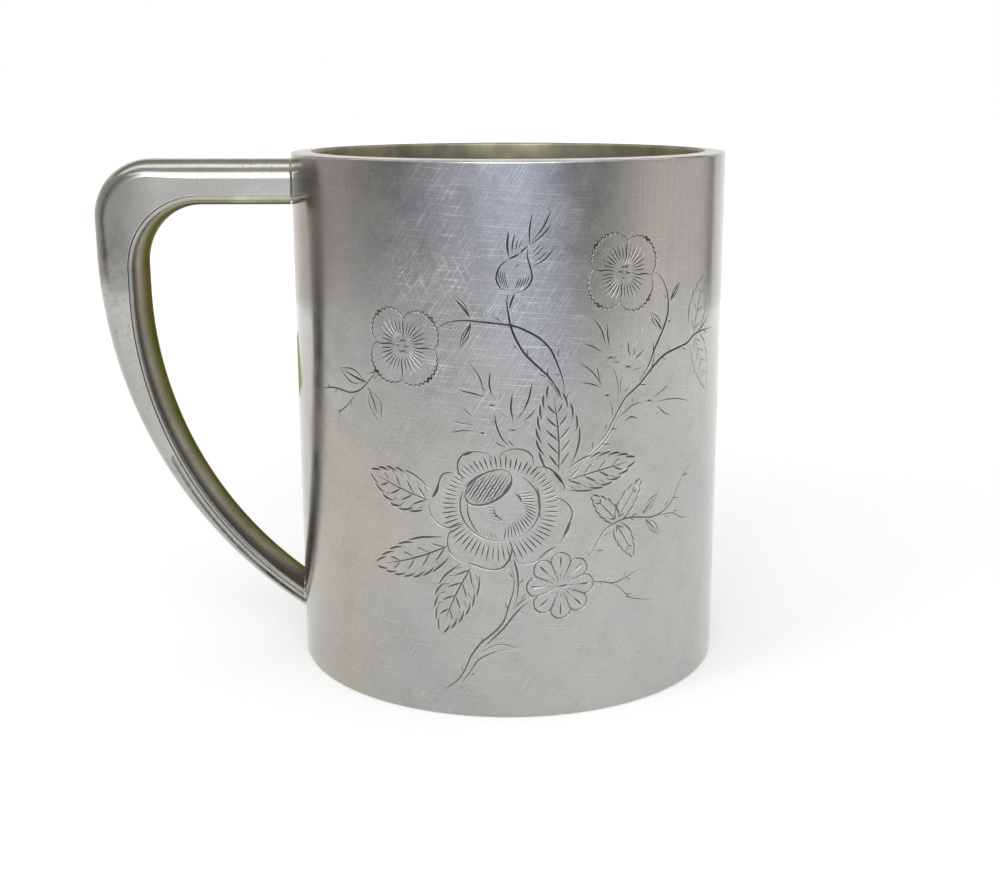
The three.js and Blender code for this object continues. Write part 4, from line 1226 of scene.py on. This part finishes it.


# Both ends of the handle are butted to the wall and run round with solder, which was wiped to a small
# hollow fillet. At the foot the real solder also gathers into two bright beads in the inner corner,
# which are not made here.
def collar(name, low_end, radius):
    """A fillet round the handle's end. From a spot of the joint it runs out along the wall and up
    along the handle by the radius, and between them it is a hollow quarter circle."""
    outline = np.concatenate([shell_section[4:-4], strip_section[::-1][5:-5]])
    grid = carried(outline)
    ring = grid[-1] if low_end else grid[0]
    next_ring = grid[-2] if low_end else grid[1]
    outwards = ring * (1, 1, 0) / np.linalg.norm(ring[:, :2], axis=1)[:, None]
    up_handle = next_ring - ring
    up_handle /= np.linalg.norm(up_handle, axis=1)[:, None]
    tangent = np.roll(ring, -1, axis=0) - np.roll(ring, 1, axis=0)
    away = np.cross(tangent, outwards)
    away /= np.linalg.norm(away, axis=1)[:, None]
    middle = ring.mean(0)
    away *= np.sign(((ring - middle) * away).sum(1).mean())
    turn = np.linspace(0, np.pi / 2, 7)[:, None, None]
    hollow = ring + radius * ((1 - np.sin(turn)) * away + (1 - np.cos(turn)) * up_handle)
    bite = 0.1
    inner = ring - bite * outwards - bite * away
    grid = np.concatenate([hollow, inner[None]])
    faces = grid_faces(len(grid), len(ring), close_rows=True, close_places=True)
    if not low_end:
        faces = faces[:, ::-1]
    piece = shown_piece(name, grid.reshape(-1, 3), faces, joint_solder)
    welded(piece.data, 0.002, recalculate=True)
    return piece


joint_solder = solder_metal("silver solder, wiped", "#D2D0CA", "#B0AEA6", 0.22)
upper_collar = collar("upper_joint_solder", False, 0.32)
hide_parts("upper_handle_solder")
lower_collar = collar("lower_joint_solder", True, 0.4)
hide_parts("lower_handle_solder")


# The studio: a plain floor of pale matt card, a pale room all round it and two soft lamps, a window
# in front and a softbox at the left. What stands round the table shows in the metal alone.
floor_half = 4.0
floor_mesh = bpy.data.meshes.new("floor")
floor_mesh.from_pydata([
    (-floor_half, -floor_half, 0), (floor_half, -floor_half, 0),
    (floor_half, floor_half, 0), (-floor_half, floor_half, 0),
], [], [(0, 1, 2, 3)])
floor_material, floor_tree = new_material("pale matt card")


def seen_directly(tree):
    """One for camera, glossy and transmission rays, and nothing for the rest."""
    rays = ("Is Camera Ray", "Is Glossy Ray", "Is Transmission Ray")
    return node(tree, "Math", *(node(tree, "LightPath", out=ray) for ray in rays), operation="MAXIMUM")


card = node(floor_tree, "BsdfDiffuse", linear("#F2F2F1"))
floor_place = node(floor_tree, "TexCoord", out="Object")
from_mug = node(floor_tree, "VectorMath", floor_place, operation="LENGTH")
raised = node(floor_tree, "range", from_mug, 0.12, 0.6, 0.27, 0.5)
lift_strength = node(floor_tree, "product", seen_directly(floor_tree), raised)
lift = node(floor_tree, "Emission", (1, 1, 1, 1), lift_strength)
node(floor_tree, "OutputMaterial", node(floor_tree, "AddShader", card, lift))
floor_mesh.materials.append(floor_material)
floor = bpy.data.objects.new("floor", floor_mesh)
bpy.context.scene.collection.objects.link(floor)

world = bpy.data.worlds.new("room")
bpy.context.scene.world = world
world.use_nodes = True
room = world.node_tree
room.nodes.clear()
level = node(room, "range", seen_directly(room), 0, 1, 0.7, 1.0)
node(room, "OutputWorld", node(room, "Background", (1, 1, 1, 1), level))


def mirrored_only(name, points, faces, shades):
    """Grey cards on stands that only the metal mirrors: they cast no shadow and aren't in view. Each
    point has its own shade, a linear red, green and blue."""
    mesh = bpy.data.meshes.new(name)
    mesh.from_pydata([tuple(map(float, p)) for p in points], [], [tuple(map(int, f)) for f in faces])
    shade = mesh.attributes.new("shade", "FLOAT_COLOR", "POINT")
    shades = np.concatenate([np.asarray(shades, float), np.ones((len(points), 1))], 1)
    shade.data.foreach_set("color", shades.astype(np.float32).ravel())
    material, tree = new_material(name)
    colour = node(tree, "Attribute", attribute_name="shade")
    node(tree, "OutputMaterial", node(tree, "Emission", colour, 1))
    mesh.materials.append(material)
    card = bpy.data.objects.new(name, mesh)
    card.visible_camera = False
    card.visible_diffuse = False
    card.visible_shadow = False
    bpy.context.scene.collection.objects.link(card)


# The room round the table, seen only in the metal: a bearing from the front towards +X in degrees,
# how bright it is there near the table and higher up, and how blue it is
room_views = np.array((
    (-180, 0.95, 0.90, 0.95), (-150, 0.90, 0.85, 0.92), (-135, 0.75, 0.60, 0.90),
    (-110, 0.55, 0.45, 0.88), (-92, 0.50, 0.42, 0.90), (-80, 0.32, 0.32, 0.94), (-66, 0.21, 0.25, 0.98),
    (-54, 0.22, 0.30, 1.02), (-42, 0.36, 0.45, 1.00), (-30, 0.52, 0.60, 1.02), (-20, 0.64, 0.80, 1.05),
    (-12, 0.76, 1.00, 1.10), (2, 1.05, 1.00, 1.20), (12, 1.00, 0.95, 1.22), (20, 0.62, 0.80, 1.18),
    (28, 0.28, 0.55, 1.00), (38, 0.15, 0.40, 1.00), (48, 0.17, 0.38, 0.96), (58, 0.42, 0.45, 0.93),
    (70, 0.70, 0.50, 0.90), (88, 0.76, 0.50, 0.92), (114, 0.78, 0.50, 0.94), (122, 0.58, 0.45, 0.94),
    (129, 0.28, 0.30, 0.96), (134, 0.80, 0.60, 0.97), (150, 1.00, 0.85, 0.98), (180, 0.95, 0.90, 0.95),
))
bearings = np.arange(-180, 180, 2.0)
low, raised_view, blue = (np.interp(bearings, room_views[:, 0], room_views[:, k]) for k in (1, 2, 3))
turn = np.radians(bearings)
room_distance = 0.45
near_table, higher_up = 0.11, 0.17
ring = np.stack([room_distance * np.sin(turn), -room_distance * np.cos(turn), 0 * turn], -1)
tint = np.stack([blue**-0.5, 1 + 0 * blue, blue**0.5], -1)
top = np.interp(abs(bearings), (30, 38, 100, 130), (0.18, 0.5, 0.5, 0.27))
mirrored_only(
    "room behind the table",
    np.concatenate([
        ring, ring + (0, 0, near_table), ring + (0, 0, higher_up), ring + top[:, None] * (0, 0, 1),
    ]),
    grid_faces(4, len(bearings), close_places=True),
    np.concatenate([tint * level[:, None] for level in (low, low, raised_view, raised_view)]),
)


def level_card(name, x, y, height, shade):
    """A flat card over the table between two x and two y, in metres, of a linear red, green, blue."""
    corners = [(x[0], y[0], height), (x[1], y[0], height), (x[1], y[1], height), (x[0], y[1], height)]
    mirrored_only(name, corners, [(0, 1, 2, 3)], [shade] * 4)


ceiling = 0.6
level_card("window's upper pane", (-0.5, 0.5), (-0.50, -0.22), ceiling, (1.5, 1.5, 1.5))
level_card("front ceiling", (-2, 2), (-0.22, 0.11), ceiling, (0.40, 0.41, 0.39))
level_card("light over the mug", (-2, 2), (0.11, 0.33), ceiling, (1.25, 1.25, 1.2))
level_card("rear ceiling", (-2, 2), (0.33, 0.55), ceiling, (0.36, 0.36, 0.33))
level_card("far ceiling", (-2, 2), (0.55, 1.3), ceiling, (0.24, 0.24, 0.22))
level_card("olive card on the table", (-0.16, -0.085), (0.2, 0.32), 0.002, (0.42, 0.42, 0.16))


def soft_lamp(name, place, aim, width, depth, watts, tint="#FFFFFF"):
    """A rectangular soft lamp at a place, in metres, turned to face its aim."""
    data = bpy.data.lights.new(name, "AREA")
    data.shape = "RECTANGLE"
    data.size, data.size_y = width, depth
    data.energy = watts
    data.color = linear(tint)[:3]
    lamp = bpy.data.objects.new(name, data)
    lamp.location = place
    lamp.rotation_euler = (Vector(aim) - Vector(place)).to_track_quat("-Z", "Y").to_euler()
    bpy.context.scene.collection.objects.link(lamp)
    return lamp


soft_lamp("window", (0.0, -0.8, 0.5), (0, 0, 0.08), 0.7, 0.6, 3.0, "#F4F7FF")
soft_lamp("left softbox", (-0.62, -0.5, 0.55), (0, 0, 0.05), 0.3, 0.4, 1.2)

bpy.context.scene.view_settings.view_transform = "Standard"
